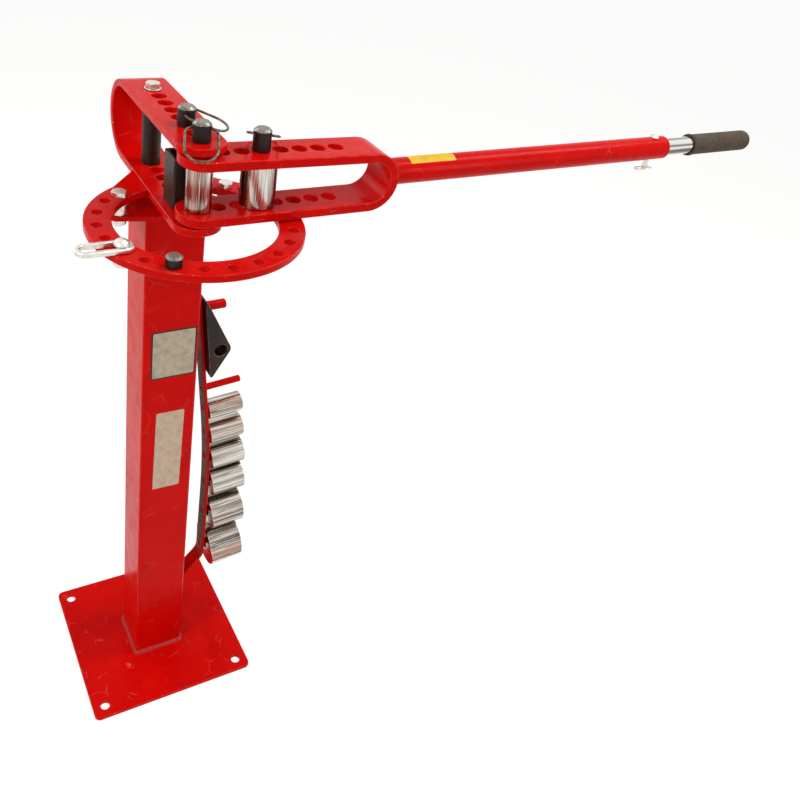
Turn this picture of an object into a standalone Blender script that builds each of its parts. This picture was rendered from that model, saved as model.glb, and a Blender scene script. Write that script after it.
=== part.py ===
"""Pedestal pipe bender: a floor plate and square post that carry a fixed U-shaped frame with a
degree ring, a swinging fork with its handle, loose drive pins, and a rack of bending dies.

Metres, +Z up. The origin is the middle of the base plate's underside. +X is the way the handle
points at rest, and +Y is the closed end of the fixed frame.
"""
import math

import bmesh
import bpy
from mathutils import Matrix, Vector

MM = 0.001
INCH = 25.4 * MM

# Clearance between pieces that touch, and how far a cut runs past what it cuts
GAP = 0.3 * MM
OVERRUN = 4 * MM

# Base plate
BASE_SIDE = 270 * MM
BASE_THICK = 6 * MM
BASE_CORNER_R = 9 * MM
BASE_HOLE_D = 15 * MM
BASE_HOLE_INSET = 20 * MM
BASE_WELD_LEG = 6 * MM

# Post, a square tube
POST_SIDE = 80 * MM
POST_WALL = 3 * MM
POST_CORNER_R = 5 * MM
POST_LENGTH = 840 * MM

# Plate on top of the post, which the degree ring is bolted to
TOP_PLATE_THICK = 6 * MM
TOP_PLATE_FRONT_LIP = 4 * MM
TOP_PLATE_REAR_LIP = 5 * MM
TOP_PLATE_FRONT_R = 229 * MM
TOP_PLATE_WING_R = 13 * MM

# The axis that the fork swings on stands in front of the post
PIVOT_OFFSET = 105 * MM

# Bored bars share one hole pitch
PITCH = 25 * MM
BAR_HOLE_COUNT = 8
BAR_WIDTH = 60 * MM
BAR_HOLE_D = 19.8 * MM

# Swinging fork: a flat bar bent to a U
FORK_THICK = 12 * MM
FORK_INNER_GAP = 58 * MM
FORK_END = 82 * MM
FORK_DROP = 4 * MM

# Fixed frame: a longer U that the fork turns inside
FRAME_THICK = 9.5 * MM
FRAME_END = 89.5 * MM
HEAD_PLAY = 5 * MM
PIVOT_WASHER_THICK = 3 * MM
PIVOT_WASHER_D = 46 * MM

# Degree ring
RING_THICK = 9.5 * MM
RING_HOLE_CIRCLE_R = 115 * MM
RING_OUTER_LAND = 15 * MM
RING_INNER_LAND = 17 * MM
RING_HOLE_D = 13.4 * MM
RING_HOLE_COUNT = 17
RING_HOLE_STEP = math.radians(16.2)
RING_TAIL_ANGLE = math.radians(57.8)
RING_TAIL_REACH = 156 * MM
RING_LIFT = 14 * MM
LINK_HOLE_INDEX = 4
STOP_HOLE_INDEX = 6

# Bolts that hold the ring to the top plate
RING_BOLT_ANGLE = math.radians(50.1)
RING_BOLT_STEP_IN = 6.7 * MM
RING_BOLT_D = 10 * MM
RING_BOLT_ACROSS_FLATS = 17 * MM
RING_BOLT_HEAD = 6.4 * MM
RING_NUT_HEIGHT = 8 * MM
RING_SPACER_D = 20 * MM
BOLT_TAIL = 3 * MM

# Bolt, washers and spacer tube at the closed end of the frame
FRAME_BOLT_D = 10 * MM
FRAME_BOLT_ACROSS_FLATS = 17 * MM
FRAME_BOLT_HEAD = 6.4 * MM
FRAME_NUT_HEIGHT = 8 * MM
FRAME_WASHER_D = 21.5 * MM
FRAME_WASHER_THICK = 2 * MM
FRAME_SPACER_D = 25 * MM

# Drive pins and their bails
PIN_D = 19 * MM
PIN_HEAD_D = 22 * MM
PIN_HEAD_HEIGHT = 23.4 * MM
FOLLOWER_HEAD_HEIGHT = 27.2 * MM
PIN_CHAMFER = 3 * MM
PIN_TAIL = 6 * MM
FOLLOWER_PIN_TAIL = 5 * MM
BAIL_HOLE_DEPTH = 8 * MM
BAIL_WIRE_D = 3 * MM
BAIL_HOLE_D = 4.2 * MM
BAIL_WIDTH = 40 * MM
BAIL_LENGTH = 52 * MM
BAIL_BEND_R = 6 * MM
BAIL_END_GAP = 3 * MM
FRAME_PIN_HOLE_INDEX = 2
FOLLOWER_PIN_HOLE_INDEX = 3
FRAME_BOLT_HOLE_INDEX = 7

# Dies
DIE_BORE = 20 * MM
DIE_END_PLAY = 0.7 * MM
DIE_CHAMFER = 1.2 * MM
CENTRE_DIE_D = 1.25 * INCH
FOLLOWER_DIE_D = 1.75 * INCH
RACK_DIE_INCHES = (1.25, 1.5, 1.75, 2.0, 2.5, 3.0)

# Reaction block, a short length of square tube round the frame pin
REACTION_SIDE = 38 * MM
REACTION_WALL = 4 * MM
REACTION_CORNER_R = 3 * MM
REACTION_HEIGHT = 64 * MM

# Stop pin in the ring, and the slotted link on its shouldered bolt
STOP_HEAD_D = 19 * MM
STOP_HEAD_HEIGHT = 13.5 * MM
STOP_SHANK_D = 12.4 * MM
STOP_TAIL = 5 * MM
STOP_CHAMFER = 2.5 * MM
LINK_LENGTH = 65 * MM
LINK_WIDTH = 25 * MM
LINK_THICK = 6 * MM
LINK_SLOT_WIDTH = 14 * MM
LINK_SLOT_PLAY = 1.2 * MM
LINK_BOLT_HEAD_D = 17.5 * MM
LINK_BOLT_HEAD_HEIGHT = 7 * MM
LINK_BOLT_CROWN = 3 * MM
LINK_NUT_D = 19 * MM
LINK_NUT_HEIGHT = 9 * MM

# Handle
HANDLE_D = 35 * MM
HANDLE_WALL = 3.5 * MM
HANDLE_LENGTH = 507 * MM
HANDLE_RISE = math.radians(0.25)
EXTENSION_D = 27 * MM
EXTENSION_WALL = 3 * MM
EXTENSION_INSERT = 76 * MM
EXTENSION_SHOWN = 59 * MM
GRIP_D = 32 * MM
GRIP_LENGTH = 137 * MM
GRIP_END_WALL = 5 * MM
GRIP_ROUND = 9 * MM
GRIP_COLLAR = 2.2 * MM
LOCK_PIN_INSET = 24 * MM
LOCK_PIN_D = 8 * MM
LOCK_PIN_HOLE_D = 8.8 * MM
LOCK_PIN_HEAD_D = 14 * MM
LOCK_PIN_HEAD_HEIGHT = 4 * MM
LOCK_PIN_TAIL = 18 * MM
CLIP_WIRE_D = 2.4 * MM
CLIP_HOLE_D = 3.4 * MM
CLIP_HOLE_RISE = 5 * MM
CLIP_STRAIGHT_PAST = 9 * MM
CLIP_LENGTH = 24 * MM
CLIP_EYE_R = 4.5 * MM
CLIP_FLARE = 2.5 * MM

# Storage bracket, a flat bar that bows out from the post's side and carries the pegs
BRACKET_WIDTH = 25 * MM
BRACKET_THICK = 5 * MM
BRACKET_TOP = 752 * MM
BRACKET_STAND_OFF = 39 * MM
BRACKET_SHOULDER_DROP = 353 * MM
BRACKET_SHOULDER_R = 1500 * MM
BRACKET_STRAIGHT = 222 * MM
BRACKET_HEEL_R = 25 * MM
BRACKET_HEEL_DROP = 46 * MM

# Pegs on the bracket; each gap is the space between one die and the next
PEG_D = 10.5 * MM
PEG_SHOWN = 57 * MM
PEG_TILT = math.radians(5)
PEG_RECESS = 1.5 * MM
EMPTY_PEG_DROP = 218 * MM
RACK_GAP = 10 * MM
RACK_GAP_SHARES = (0.82, 1.21, 1.07, 0.64, 1.12, 0.87)
BLOCK_PEG_D = 14 * MM
BLOCK_PEG_TILT = math.radians(1)
BLOCK_PEG_DROP = 71 * MM
BLOCK_PEG_SHOWN = 39 * MM

# Angle block that hangs on the upper peg
BLOCK_ABOVE_PEG = 32 * MM
BLOCK_BELOW_PEG = 114 * MM
BLOCK_NOSE_OUT = 36 * MM
BLOCK_NOSE_BELOW_PEG = 62 * MM
BLOCK_NOSE_R = 12 * MM
BLOCK_TIP_R = 2.5 * MM
BLOCK_BORE = 19.8 * MM
BLOCK_BORE_WALL = 5.5 * MM
BLOCK_PEG_HOLE_PLAY = 1 * MM

# How finely round things are faceted
ROUND_FACET_COUNT = 24
HOLE_FACET_COUNT = 16
SMALL_FACET_COUNT = 12
CORNER_STEP_COUNT = 4
SHARP_ANGLE = math.radians(35)

# Finishes: colour, roughness, metallic
RED_ENAMEL = ((0.60, 0.012, 0.012), 0.3, 0.0)
BLACK_OXIDE = ((0.018, 0.018, 0.02), 0.45, 0.6)
BLACK_PAINT = ((0.015, 0.015, 0.016), 0.4, 0.0)
ZINC_PLATE = ((0.62, 0.62, 0.60), 0.32, 1.0)
POLISHED_STEEL = ((0.62, 0.61, 0.59), 0.18, 1.0)
CHROME_PLATE = ((0.75, 0.75, 0.76), 0.12, 1.0)
BLACK_RUBBER = ((0.012, 0.012, 0.012), 0.75, 0.0)
RED_WELD = ((0.45, 0.012, 0.012), 0.45, 0.0)

# Heights worked out from the sizes above
Z_POST_FOOT = BASE_THICK + GAP
Z_POST_HEAD = Z_POST_FOOT + POST_LENGTH
Z_TOP_PLATE = Z_POST_HEAD + GAP
Z_RING = Z_TOP_PLATE + TOP_PLATE_THICK + RING_LIFT
Z_RING_TOP = Z_RING + RING_THICK
FORK_HEIGHT = FORK_INNER_GAP + 2 * FORK_THICK
FRAME_INNER_GAP = FORK_HEIGHT + PIVOT_WASHER_THICK + HEAD_PLAY
FRAME_HEIGHT = FRAME_INNER_GAP + 2 * FRAME_THICK
Z_FRAME = Z_RING_TOP - FRAME_THICK
Z_FRAME_SEAT = Z_FRAME + FRAME_THICK
Z_FRAME_TOP = Z_FRAME + FRAME_HEIGHT
Z_FORK = Z_FRAME_SEAT + PIVOT_WASHER_THICK
Z_FORK_SEAT = Z_FORK + FORK_THICK
Z_FORK_TOP = Z_FORK + FORK_HEIGHT
LAST_STATION = (BAR_HOLE_COUNT - 1) * PITCH
FORK_REACH = LAST_STATION + FORK_END
FORK_BEND_R = (FORK_HEIGHT - FORK_DROP) / 2
FORK_BEND = FORK_REACH - FORK_BEND_R
FORK_SLOPE = FORK_DROP / FORK_BEND
Z_HANDLE = Z_FORK + FORK_BEND_R
FOLLOWER_X = FOLLOWER_PIN_HOLE_INDEX * PITCH
DIE_LENGTH = (FORK_INNER_GAP - (FOLLOWER_X + FOLLOWER_DIE_D / 2) * FORK_SLOPE
              - DIE_END_PLAY)
FRAME_REACH = LAST_STATION + FRAME_END
POST_FACE = POST_SIDE / 2 + GAP

PIVOT = Vector((0, -PIVOT_OFFSET, 0))


def make_collection(name):
    made = bpy.data.collections.new(name)
    bpy.context.scene.collection.children.link(made)
    return made


def clear_scene():
    for old in list(bpy.data.objects):
        bpy.data.objects.remove(old)


def evaluated_mesh(data, modify=None):
    """The mesh that a curve or a mesh gives, with its loose caps welded."""
    holder = bpy.data.objects.new("holder", data)
    bpy.context.scene.collection.objects.link(holder)
    if modify:
        modify(holder)
    graph = bpy.context.evaluated_depsgraph_get()
    mesh = bpy.data.meshes.new_from_object(holder.evaluated_get(graph))
    bpy.data.objects.remove(holder)
    welded = bmesh.new()
    welded.from_mesh(mesh)
    bmesh.ops.remove_doubles(welded, verts=welded.verts, dist=GAP / 30)
    bmesh.ops.recalc_face_normals(welded, faces=welded.faces)
    welded.to_mesh(mesh)
    welded.free()
    mesh.shade_smooth()
    mesh.set_sharp_from_angle(angle=SHARP_ANGLE)
    return mesh


# Outlines

def arc(centre, radius, start, end, steps):
    """Points on an arc, both ends included."""
    angles = [start + (end - start) * i / steps for i in range(steps + 1)]
    return [(centre[0] + radius * math.cos(a), centre[1] + radius * math.sin(a)) for a in angles]


def circle(centre, diameter, sides=HOLE_FACET_COUNT):
    return arc(centre, diameter / 2, 0, 2 * math.pi, sides)[:-1]


def rounded(corners, closed=True, steps=CORNER_STEP_COUNT):
    """A path through corners given as (x, y, radius), each rounded by its radius."""
    points = []
    count = len(corners)
    for i, (x, y, radius) in enumerate(corners):
        here = Vector((x, y))
        is_end = not closed and i in (0, count - 1)
        if is_end or radius == 0:
            points.append((x, y))
            continue
        back = (Vector(corners[i - 1][:2]) - here).normalized()
        on = (Vector(corners[(i + 1) % count][:2]) - here).normalized()
        half = back.angle(on) / 2
        centre = here + (back + on).normalized() * radius / math.sin(half)
        first = here + back * radius / math.tan(half)
        last = here + on * radius / math.tan(half)
        start = math.atan2(*(first - centre).yx)
        turn = math.remainder(math.atan2(*(last - centre).yx) - start, 2 * math.pi)
        points += arc(centre, radius, start, start + turn, steps)
    return points


def rounded_rectangle(width, depth, radius):
    x, y = width / 2, depth / 2
    return rounded([(-x, -y, radius), (x, -y, radius), (x, y, radius), (-x, y, radius)])


def beside(path, distance):
    """The path moved sideways by a distance, to the left of its own direction."""
    moved = []
    for i, point in enumerate(path):
        before = Vector(path[max(i - 1, 0)])
        after = Vector(path[min(i + 1, len(path) - 1)])
        along = (after - before).normalized()
        moved.append((point[0] - along.y * distance, point[1] + along.x * distance))
    return moved


# Meshes

def plate_mesh(loops, thickness):
    """A flat piece from its outline and the outlines of its holes, centred on its thickness."""
    curve = bpy.data.curves.new("outline", "CURVE")
    curve.dimensions = "2D"
    curve.fill_mode = "BOTH"
    curve.extrude = thickness / 2
    for loop in loops:
        spline = curve.splines.new("POLY")
        spline.points.add(len(loop) - 1)
        for point, (x, y) in zip(spline.points, loop):
            point.co = (x, y, 0, 1)
        spline.use_cyclic_u = True
    return evaluated_mesh(curve)


def turned_mesh(profile, sides=ROUND_FACET_COUNT, bored=False):
    """A turned piece. The profile is (radius, z), down its outer side; a bored one is closed."""
    mesh = bpy.data.meshes.new("profile")
    edges = [(i, i + 1) for i in range(len(profile) - 1)]
    if bored:
        edges.append((len(profile) - 1, 0))
    mesh.from_pydata([(radius, 0, z) for radius, z in profile], edges, [])

    def spin(holder):
        screw = holder.modifiers.new("spin", "SCREW")
        screw.steps = screw.render_steps = sides
        screw.use_merge_vertices = True
        screw.merge_threshold = GAP / 3

    return evaluated_mesh(mesh, spin)


def rod_mesh(diameter, length, sides=HOLE_FACET_COUNT):
    """A plain rod along Z, centred on its length."""
    made = bmesh.new()
    bmesh.ops.create_cone(made, cap_ends=True, segments=sides, radius1=diameter / 2,
                          radius2=diameter / 2, depth=length)
    mesh = bpy.data.meshes.new("rod")
    made.to_mesh(mesh)
    made.free()
    return mesh


def wire_mesh(points, diameter):
    """A round wire along 3D points."""
    curve = bpy.data.curves.new("wire", "CURVE")
    curve.dimensions = "3D"
    curve.bevel_depth = diameter / 2
    curve.bevel_resolution = 2
    curve.use_fill_caps = True
    spline = curve.splines.new("POLY")
    spline.points.add(len(points) - 1)
    for point, co in zip(spline.points, points):
        point.co = (*co, 1)
    return evaluated_mesh(curve)


def band_mesh(loops):
    """A closed band lofted through loops of equal length, the last joined to the first."""
    made = bmesh.new()
    rings = [[made.verts.new(co) for co in loop] for loop in loops]
    for ring, following in zip(rings, rings[1:] + rings[:1]):
        for i in range(len(ring)):
            j = (i + 1) % len(ring)
            made.faces.new((ring[i], ring[j], following[j], following[i]))
    mesh = bpy.data.meshes.new("band")
    made.to_mesh(mesh)
    made.free()
    return evaluated_mesh(mesh)


# Objects

def add(name, mesh, finish, location=(0, 0, 0), rotation=(0, 0, 0), parent=None):
    """A named sub-part with a material of its own."""
    piece = bpy.data.objects.new(name, mesh.copy())
    PARTS.objects.link(piece)
    piece.location = location
    piece.rotation_euler = rotation
    piece.parent = parent
    colour, roughness, metallic = finish
    look = bpy.data.materials.new(name + "_finish")
    look.use_nodes = True
    shader = look.node_tree.nodes["Principled BSDF"]
    shader.inputs["Base Color"].default_value = (*colour, 1)
    shader.inputs["Roughness"].default_value = roughness
    shader.inputs["Metallic"].default_value = metallic
    piece.data.materials.clear()
    piece.data.materials.append(look)
    return piece


def add_axis(name, location, rotation=(0, 0, 0), parent=None):
    """An empty that stands on a joint's axis."""
    axis = bpy.data.objects.new(name, None)
    PARTS.objects.link(axis)
    axis.location = location
    axis.rotation_euler = rotation
    axis.parent = parent
    return axis


def shape(piece, tool_mesh, operation, location=(0, 0, 0), rotation=(0, 0, 0)):
    """A Boolean with a tool placed in the piece's own coordinates."""
    tool = bpy.data.objects.new(piece.name + "_tool", tool_mesh)
    CUTTERS.objects.link(tool)
    tool.parent = piece
    tool.location = location
    tool.rotation_euler = rotation
    tool.hide_render = True
    tool.display_type = "WIRE"
    step = piece.modifiers.new(operation.lower(), "BOOLEAN")
    step.operation = operation
    step.object = tool
    return piece


def hex_mesh(across_flats, height, sides=6):
    return rod_mesh(across_flats / math.cos(math.pi / sides), height, sides)


ALONG_X = (0, math.pi / 2, 0)
ALONG_Y = (math.pi / 2, 0, 0)


def ring_point(radius, angle):
    """A point in plan at a radius and angle about the pivot."""
    return Vector((radius * math.cos(angle), radius * math.sin(angle) - PIVOT_OFFSET, 0))


def hole_angle(index):
    """The angle of a hole in the degree ring, counted round from its left end."""
    return math.pi * 1.5 + (index - (RING_HOLE_COUNT - 1) / 2) * RING_HOLE_STEP


# Base, post and top plate

def make_base_plate():
    reach = BASE_SIDE / 2 - BASE_HOLE_INSET
    holes = [circle((x, y), BASE_HOLE_D) for x in (-reach, reach) for y in (-reach, reach)]
    outline = rounded_rectangle(BASE_SIDE, BASE_SIDE, BASE_CORNER_R)
    mesh = plate_mesh([outline] + holes, BASE_THICK)
    add("base_plate", mesh, RED_ENAMEL, (0, 0, BASE_THICK / 2))


def make_base_weld():
    """The fillet of weld round the foot of the post."""
    near = POST_SIDE + 2 * GAP
    wide = near + 2 * BASE_WELD_LEG
    inner = rounded_rectangle(near, near, POST_CORNER_R + GAP)
    outer = rounded_rectangle(wide, wide, POST_CORNER_R + GAP + BASE_WELD_LEG)
    foot = BASE_THICK + GAP
    low_inner = [(x, y, foot) for x, y in inner]
    low_outer = [(x, y, foot) for x, y in outer]
    high = [(x, y, foot + BASE_WELD_LEG) for x, y in inner]
    add("base_weld", band_mesh([low_inner, high, low_outer]), RED_WELD)


def make_post():
    bore = POST_SIDE - 2 * POST_WALL
    outer = rounded_rectangle(POST_SIDE, POST_SIDE, POST_CORNER_R)
    inner = rounded_rectangle(bore, bore, POST_CORNER_R - POST_WALL)
    mesh = plate_mesh([outer, inner], POST_LENGTH)
    add("post", mesh, RED_ENAMEL, (0, 0, Z_POST_FOOT + POST_LENGTH / 2))


def ring_bolt_places():
    radius = RING_HOLE_CIRCLE_R - RING_BOLT_STEP_IN
    return {"right": ring_point(radius, RING_BOLT_ANGLE),
            "left": ring_point(radius, math.pi - RING_BOLT_ANGLE)}


def make_post_top_plate():
    """A plate with a bowed front edge and two rounded wings for the ring's bolts."""
    wing = ring_bolt_places()["right"]
    front = -POST_SIDE / 2 - TOP_PLATE_FRONT_LIP
    rear = POST_SIDE / 2 + TOP_PLATE_REAR_LIP
    spread = math.asin((wing.x - TOP_PLATE_WING_R / 2) / TOP_PLATE_FRONT_R)
    bow = arc((0, front + TOP_PLATE_FRONT_R), TOP_PLATE_FRONT_R,
              -math.pi / 2 - spread, -math.pi / 2 + spread, 2 * CORNER_STEP_COUNT)
    right = arc(wing, TOP_PLATE_WING_R, math.radians(-60), math.radians(75), 2 * CORNER_STEP_COUNT)
    left = [(-x, y) for x, y in reversed(right)]
    back = [(POST_SIDE / 2, rear), (-POST_SIDE / 2, rear)]
    holes = [circle(place, RING_BOLT_D + 3 * GAP, SMALL_FACET_COUNT)
             for place in ring_bolt_places().values()]
    mesh = plate_mesh([bow + right + back + left] + holes, TOP_PLATE_THICK)
    add("post_top_plate", mesh, RED_ENAMEL, (0, 0, Z_TOP_PLATE + TOP_PLATE_THICK / 2))


# Degree ring and its bolts

def make_degree_ring():
    """A C-shaped plate whose two tails butt on the sides of the frame's lower leg."""
    inner_r = RING_HOLE_CIRCLE_R - RING_INNER_LAND
    outer_r = RING_HOLE_CIRCLE_R + RING_OUTER_LAND
    edge = BAR_WIDTH / 2 + GAP
    mouth = math.acos(edge / inner_r)
    inside = arc((0, 0), inner_r, mouth, -math.pi - mouth, 2 * ROUND_FACET_COUNT)
    tail = [(-edge, RING_TAIL_REACH)]
    outside = arc((0, 0), outer_r, -math.pi - RING_TAIL_ANGLE, RING_TAIL_ANGLE, 2 * ROUND_FACET_COUNT)
    outline = inside + tail + outside + [(edge, RING_TAIL_REACH)]
    middle = Vector((0, PIVOT_OFFSET, 0))
    holes = [circle(ring_point(RING_HOLE_CIRCLE_R, hole_angle(i)) + middle, RING_HOLE_D,
                    SMALL_FACET_COUNT) for i in range(RING_HOLE_COUNT)]
    holes += [circle(place + middle, RING_BOLT_D + 3 * GAP, SMALL_FACET_COUNT)
              for place in ring_bolt_places().values()]
    mesh = plate_mesh([outline] + holes, RING_THICK)
    add("degree_ring", mesh, RED_ENAMEL, (0, -PIVOT_OFFSET, Z_RING + RING_THICK / 2))


def add_bolt(name, place, z_seat, diameter, across_flats, head, shank):
    """A hexagon bolt whose head sits on z_seat and whose shank hangs down from it."""
    bolt = add(name, hex_mesh(across_flats, head), ZINC_PLATE,
               (place.x, place.y, z_seat + GAP + head / 2))
    length = shank + head
    return shape(bolt, rod_mesh(diameter, length, SMALL_FACET_COUNT), "UNION",
                 (0, 0, head / 2 - length / 2 - GAP))


def add_nut(name, place, z_seat, bore, across_flats, height):
    """A hexagon nut that hangs under z_seat."""
    nut = add(name, hex_mesh(across_flats, height), ZINC_PLATE,
              (place.x, place.y, z_seat - GAP - height / 2))
    return shape(nut, rod_mesh(bore, height + OVERRUN, SMALL_FACET_COUNT), "DIFFERENCE")


def make_ring_bolts():
    z_under = Z_TOP_PLATE
    shank = Z_RING_TOP - z_under + RING_NUT_HEIGHT + BOLT_TAIL
    bore = RING_BOLT_D + 3 * GAP
    spacer = [(RING_SPACER_D / 2, RING_LIFT / 2 - GAP), (RING_SPACER_D / 2, GAP - RING_LIFT / 2),
              (bore / 2, GAP - RING_LIFT / 2), (bore / 2, RING_LIFT / 2 - GAP)]
    for side, place in ring_bolt_places().items():
        add_bolt("ring_bolt_" + side, place, Z_RING_TOP, RING_BOLT_D, RING_BOLT_ACROSS_FLATS,
                 RING_BOLT_HEAD, shank)
        add("ring_spacer_" + side, turned_mesh(spacer, HOLE_FACET_COUNT, bored=True), ZINC_PLATE,
            (place.x, place.y, Z_RING - RING_LIFT / 2))
        add_nut("ring_nut_" + side, place, z_under, bore, RING_BOLT_ACROSS_FLATS,
                RING_NUT_HEIGHT)


# The two U-shaped bars

def u_bar(name, thick, inner_gap, reach, location, turn, drop=0, parent=None):
    """A flat bar bent to a U, with a round nose and a row of holes through both legs.

    It lies along its own X, with the first hole on its origin and its underside at z = 0.
    The upper leg comes down by the drop from the first hole to the bend.
    """
    height = inner_gap + 2 * thick
    outer_r = (height - drop) / 2
    bend = reach - outer_r
    nose = -BAR_WIDTH / 2 - OVERRUN
    half = math.pi / 2
    lean = math.atan2(drop, bend)
    legs = []
    for radius in (outer_r, outer_r - thick):
        rise = radius * math.cos(lean) + (bend + radius * math.sin(lean) - nose) * math.tan(lean)
        legs.append((nose, outer_r + rise))
    outline = [(nose, 0)]
    outline += arc((bend, outer_r), outer_r, -half, half - lean, ROUND_FACET_COUNT)
    outline += legs
    outline += arc((bend, outer_r), outer_r - thick, half - lean, -half, ROUND_FACET_COUNT)
    outline += [(nose, thick)]
    side_view = plate_mesh([outline], BAR_WIDTH + 2 * OVERRUN)
    side_view.transform(Matrix.Rotation(half, 4, "X"))
    bar = add(name, side_view, RED_ENAMEL, location, (0, 0, turn), parent)
    far = reach + OVERRUN
    plan = arc((0, 0), BAR_WIDTH / 2, half, 3 * half, ROUND_FACET_COUNT // 2)
    plan += [(far, -BAR_WIDTH / 2), (far, BAR_WIDTH / 2)]
    holes = [circle((station * PITCH, 0), BAR_HOLE_D) for station in range(BAR_HOLE_COUNT)]
    tool = plate_mesh([plan] + holes, height + 2 * OVERRUN)
    return shape(bar, tool, "INTERSECT", (0, 0, height / 2))


def frame_station(station):
    """A point in plan on the frame's row of holes."""
    return PIVOT + Vector((0, station * PITCH, 0))


def make_frame():
    u_bar("frame_arm", FRAME_THICK, FRAME_INNER_GAP, FRAME_REACH, PIVOT + Vector((0, 0, Z_FRAME)),
          math.pi / 2)
    washer_bore = FRAME_BOLT_D + 3 * GAP
    washer = [(FRAME_WASHER_D / 2, FRAME_WASHER_THICK), (FRAME_WASHER_D / 2, 0),
              (washer_bore / 2, 0), (washer_bore / 2, FRAME_WASHER_THICK)]
    place = frame_station(FRAME_BOLT_HOLE_INDEX)
    z_washer = Z_FRAME_TOP + GAP
    z_low_washer = Z_FRAME - GAP - FRAME_WASHER_THICK
    washer_mesh = turned_mesh(washer, HOLE_FACET_COUNT, bored=True)
    add("frame_washer_top", washer_mesh, ZINC_PLATE, (place.x, place.y, z_washer))
    add("frame_washer_bottom", washer_mesh, ZINC_PLATE, (place.x, place.y, z_low_washer))
    z_head = z_washer + FRAME_WASHER_THICK
    shank = z_head - z_low_washer + FRAME_NUT_HEIGHT + BOLT_TAIL
    add_bolt("frame_bolt", place, z_head, FRAME_BOLT_D, FRAME_BOLT_ACROSS_FLATS,
             FRAME_BOLT_HEAD, shank)
    add_nut("frame_nut", place, z_low_washer, washer_bore, FRAME_BOLT_ACROSS_FLATS,
            FRAME_NUT_HEIGHT)
    length = FRAME_INNER_GAP - 2 * GAP
    spacer = [(FRAME_SPACER_D / 2, length), (FRAME_SPACER_D / 2, 0),
              (washer_bore / 2, 0), (washer_bore / 2, length)]
    add("frame_spacer", turned_mesh(spacer, HOLE_FACET_COUNT, bored=True), BLACK_PAINT,
        (place.x, place.y, Z_FRAME_SEAT + GAP))


def make_pivot_washer():
    height = PIVOT_WASHER_THICK - 2 * GAP
    ring = [(PIVOT_WASHER_D / 2, height), (PIVOT_WASHER_D / 2, 0),
            (BAR_HOLE_D / 2, 0), (BAR_HOLE_D / 2, height)]
    add("pivot_washer", turned_mesh(ring, bored=True), BLACK_OXIDE,
        PIVOT + Vector((0, 0, Z_FRAME_SEAT + GAP)))


def make_reaction_block():
    bore = REACTION_SIDE - 2 * REACTION_WALL
    outline = rounded_rectangle(REACTION_SIDE, REACTION_SIDE, REACTION_CORNER_R)
    inner = rounded_rectangle(bore, bore, REACTION_CORNER_R / 3)
    mesh = plate_mesh([outline, inner], REACTION_HEIGHT)
    place = frame_station(FRAME_PIN_HOLE_INDEX)
    add("reaction_block", mesh, BLACK_PAINT,
        (place.x, place.y, Z_FRAME_SEAT + GAP + REACTION_HEIGHT / 2))


# Drive pins with their bails

def bail_points():
    """The wire's middle line: in at one side of the pin, round the oval and in at the other."""
    half = (BAIL_WIDTH - BAIL_WIRE_D) / 2
    far = BAIL_WIRE_D / 2 - BAIL_LENGTH
    start = BAIL_END_GAP / 2
    top = rounded([(start, 0, 0), (half, 0, BAIL_BEND_R), (half, far + half, 0)], closed=False)
    bow = arc((0, far + half), half, 0, -math.pi, 3 * CORNER_STEP_COUNT)
    other = [(-x, y) for x, y in reversed(top)]
    return [(x, y, 0) for x, y in top[:-1] + bow + other[1:]]


def add_drive_pin(name, bail_name, place, z_seat, z_low, head_height, direction, droop,
                  parent=None):
    """A headed pin and the wire bail that lifts it. direction is where the bail points."""
    top = head_height
    low = z_low - z_seat - GAP
    head_r = PIN_HEAD_D / 2
    shank_r = PIN_D / 2
    profile = [(0, top), (head_r - PIN_CHAMFER, top), (head_r, top - PIN_CHAMFER), (head_r, 0),
               (shank_r, 0), (shank_r, low + PIN_CHAMFER), (shank_r - PIN_CHAMFER, low), (0, low)]
    turn = direction + math.pi / 2
    pin = add(name, turned_mesh(profile), BLACK_OXIDE, (*place.xy, z_seat + GAP), (0, 0, turn),
              parent)
    shape(pin, rod_mesh(BAIL_HOLE_D, PIN_HEAD_D + OVERRUN, SMALL_FACET_COUNT), "DIFFERENCE",
          (0, 0, top - BAIL_HOLE_DEPTH), ALONG_X)
    hinge = (*place.xy, z_seat + GAP + top - BAIL_HOLE_DEPTH)
    add(bail_name, wire_mesh(bail_points(), BAIL_WIRE_D), ZINC_PLATE, hinge, (droop, 0, turn),
        parent)


def make_fixed_pins():
    z_low = Z_FRAME - PIN_TAIL
    add_drive_pin("pivot_pin", "pivot_bail", PIVOT, Z_FRAME_TOP, z_low, PIN_HEAD_HEIGHT,
                  math.radians(-110), math.radians(26))
    add_drive_pin("frame_pin", "frame_bail", frame_station(FRAME_PIN_HOLE_INDEX), Z_FRAME_TOP,
                  z_low, PIN_HEAD_HEIGHT, math.radians(-29), math.radians(16))


# Dies

def die_mesh(diameter, length):
    """A plain round die, bored through and chamfered at its ends, standing on z = 0."""
    radius = diameter / 2
    bore = DIE_BORE / 2
    profile = [(radius - DIE_CHAMFER, length), (radius, length - DIE_CHAMFER),
               (radius, DIE_CHAMFER), (radius - DIE_CHAMFER, 0), (bore, 0), (bore, length)]
    return turned_mesh(profile, bored=True)


# Stop pin and link

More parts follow.
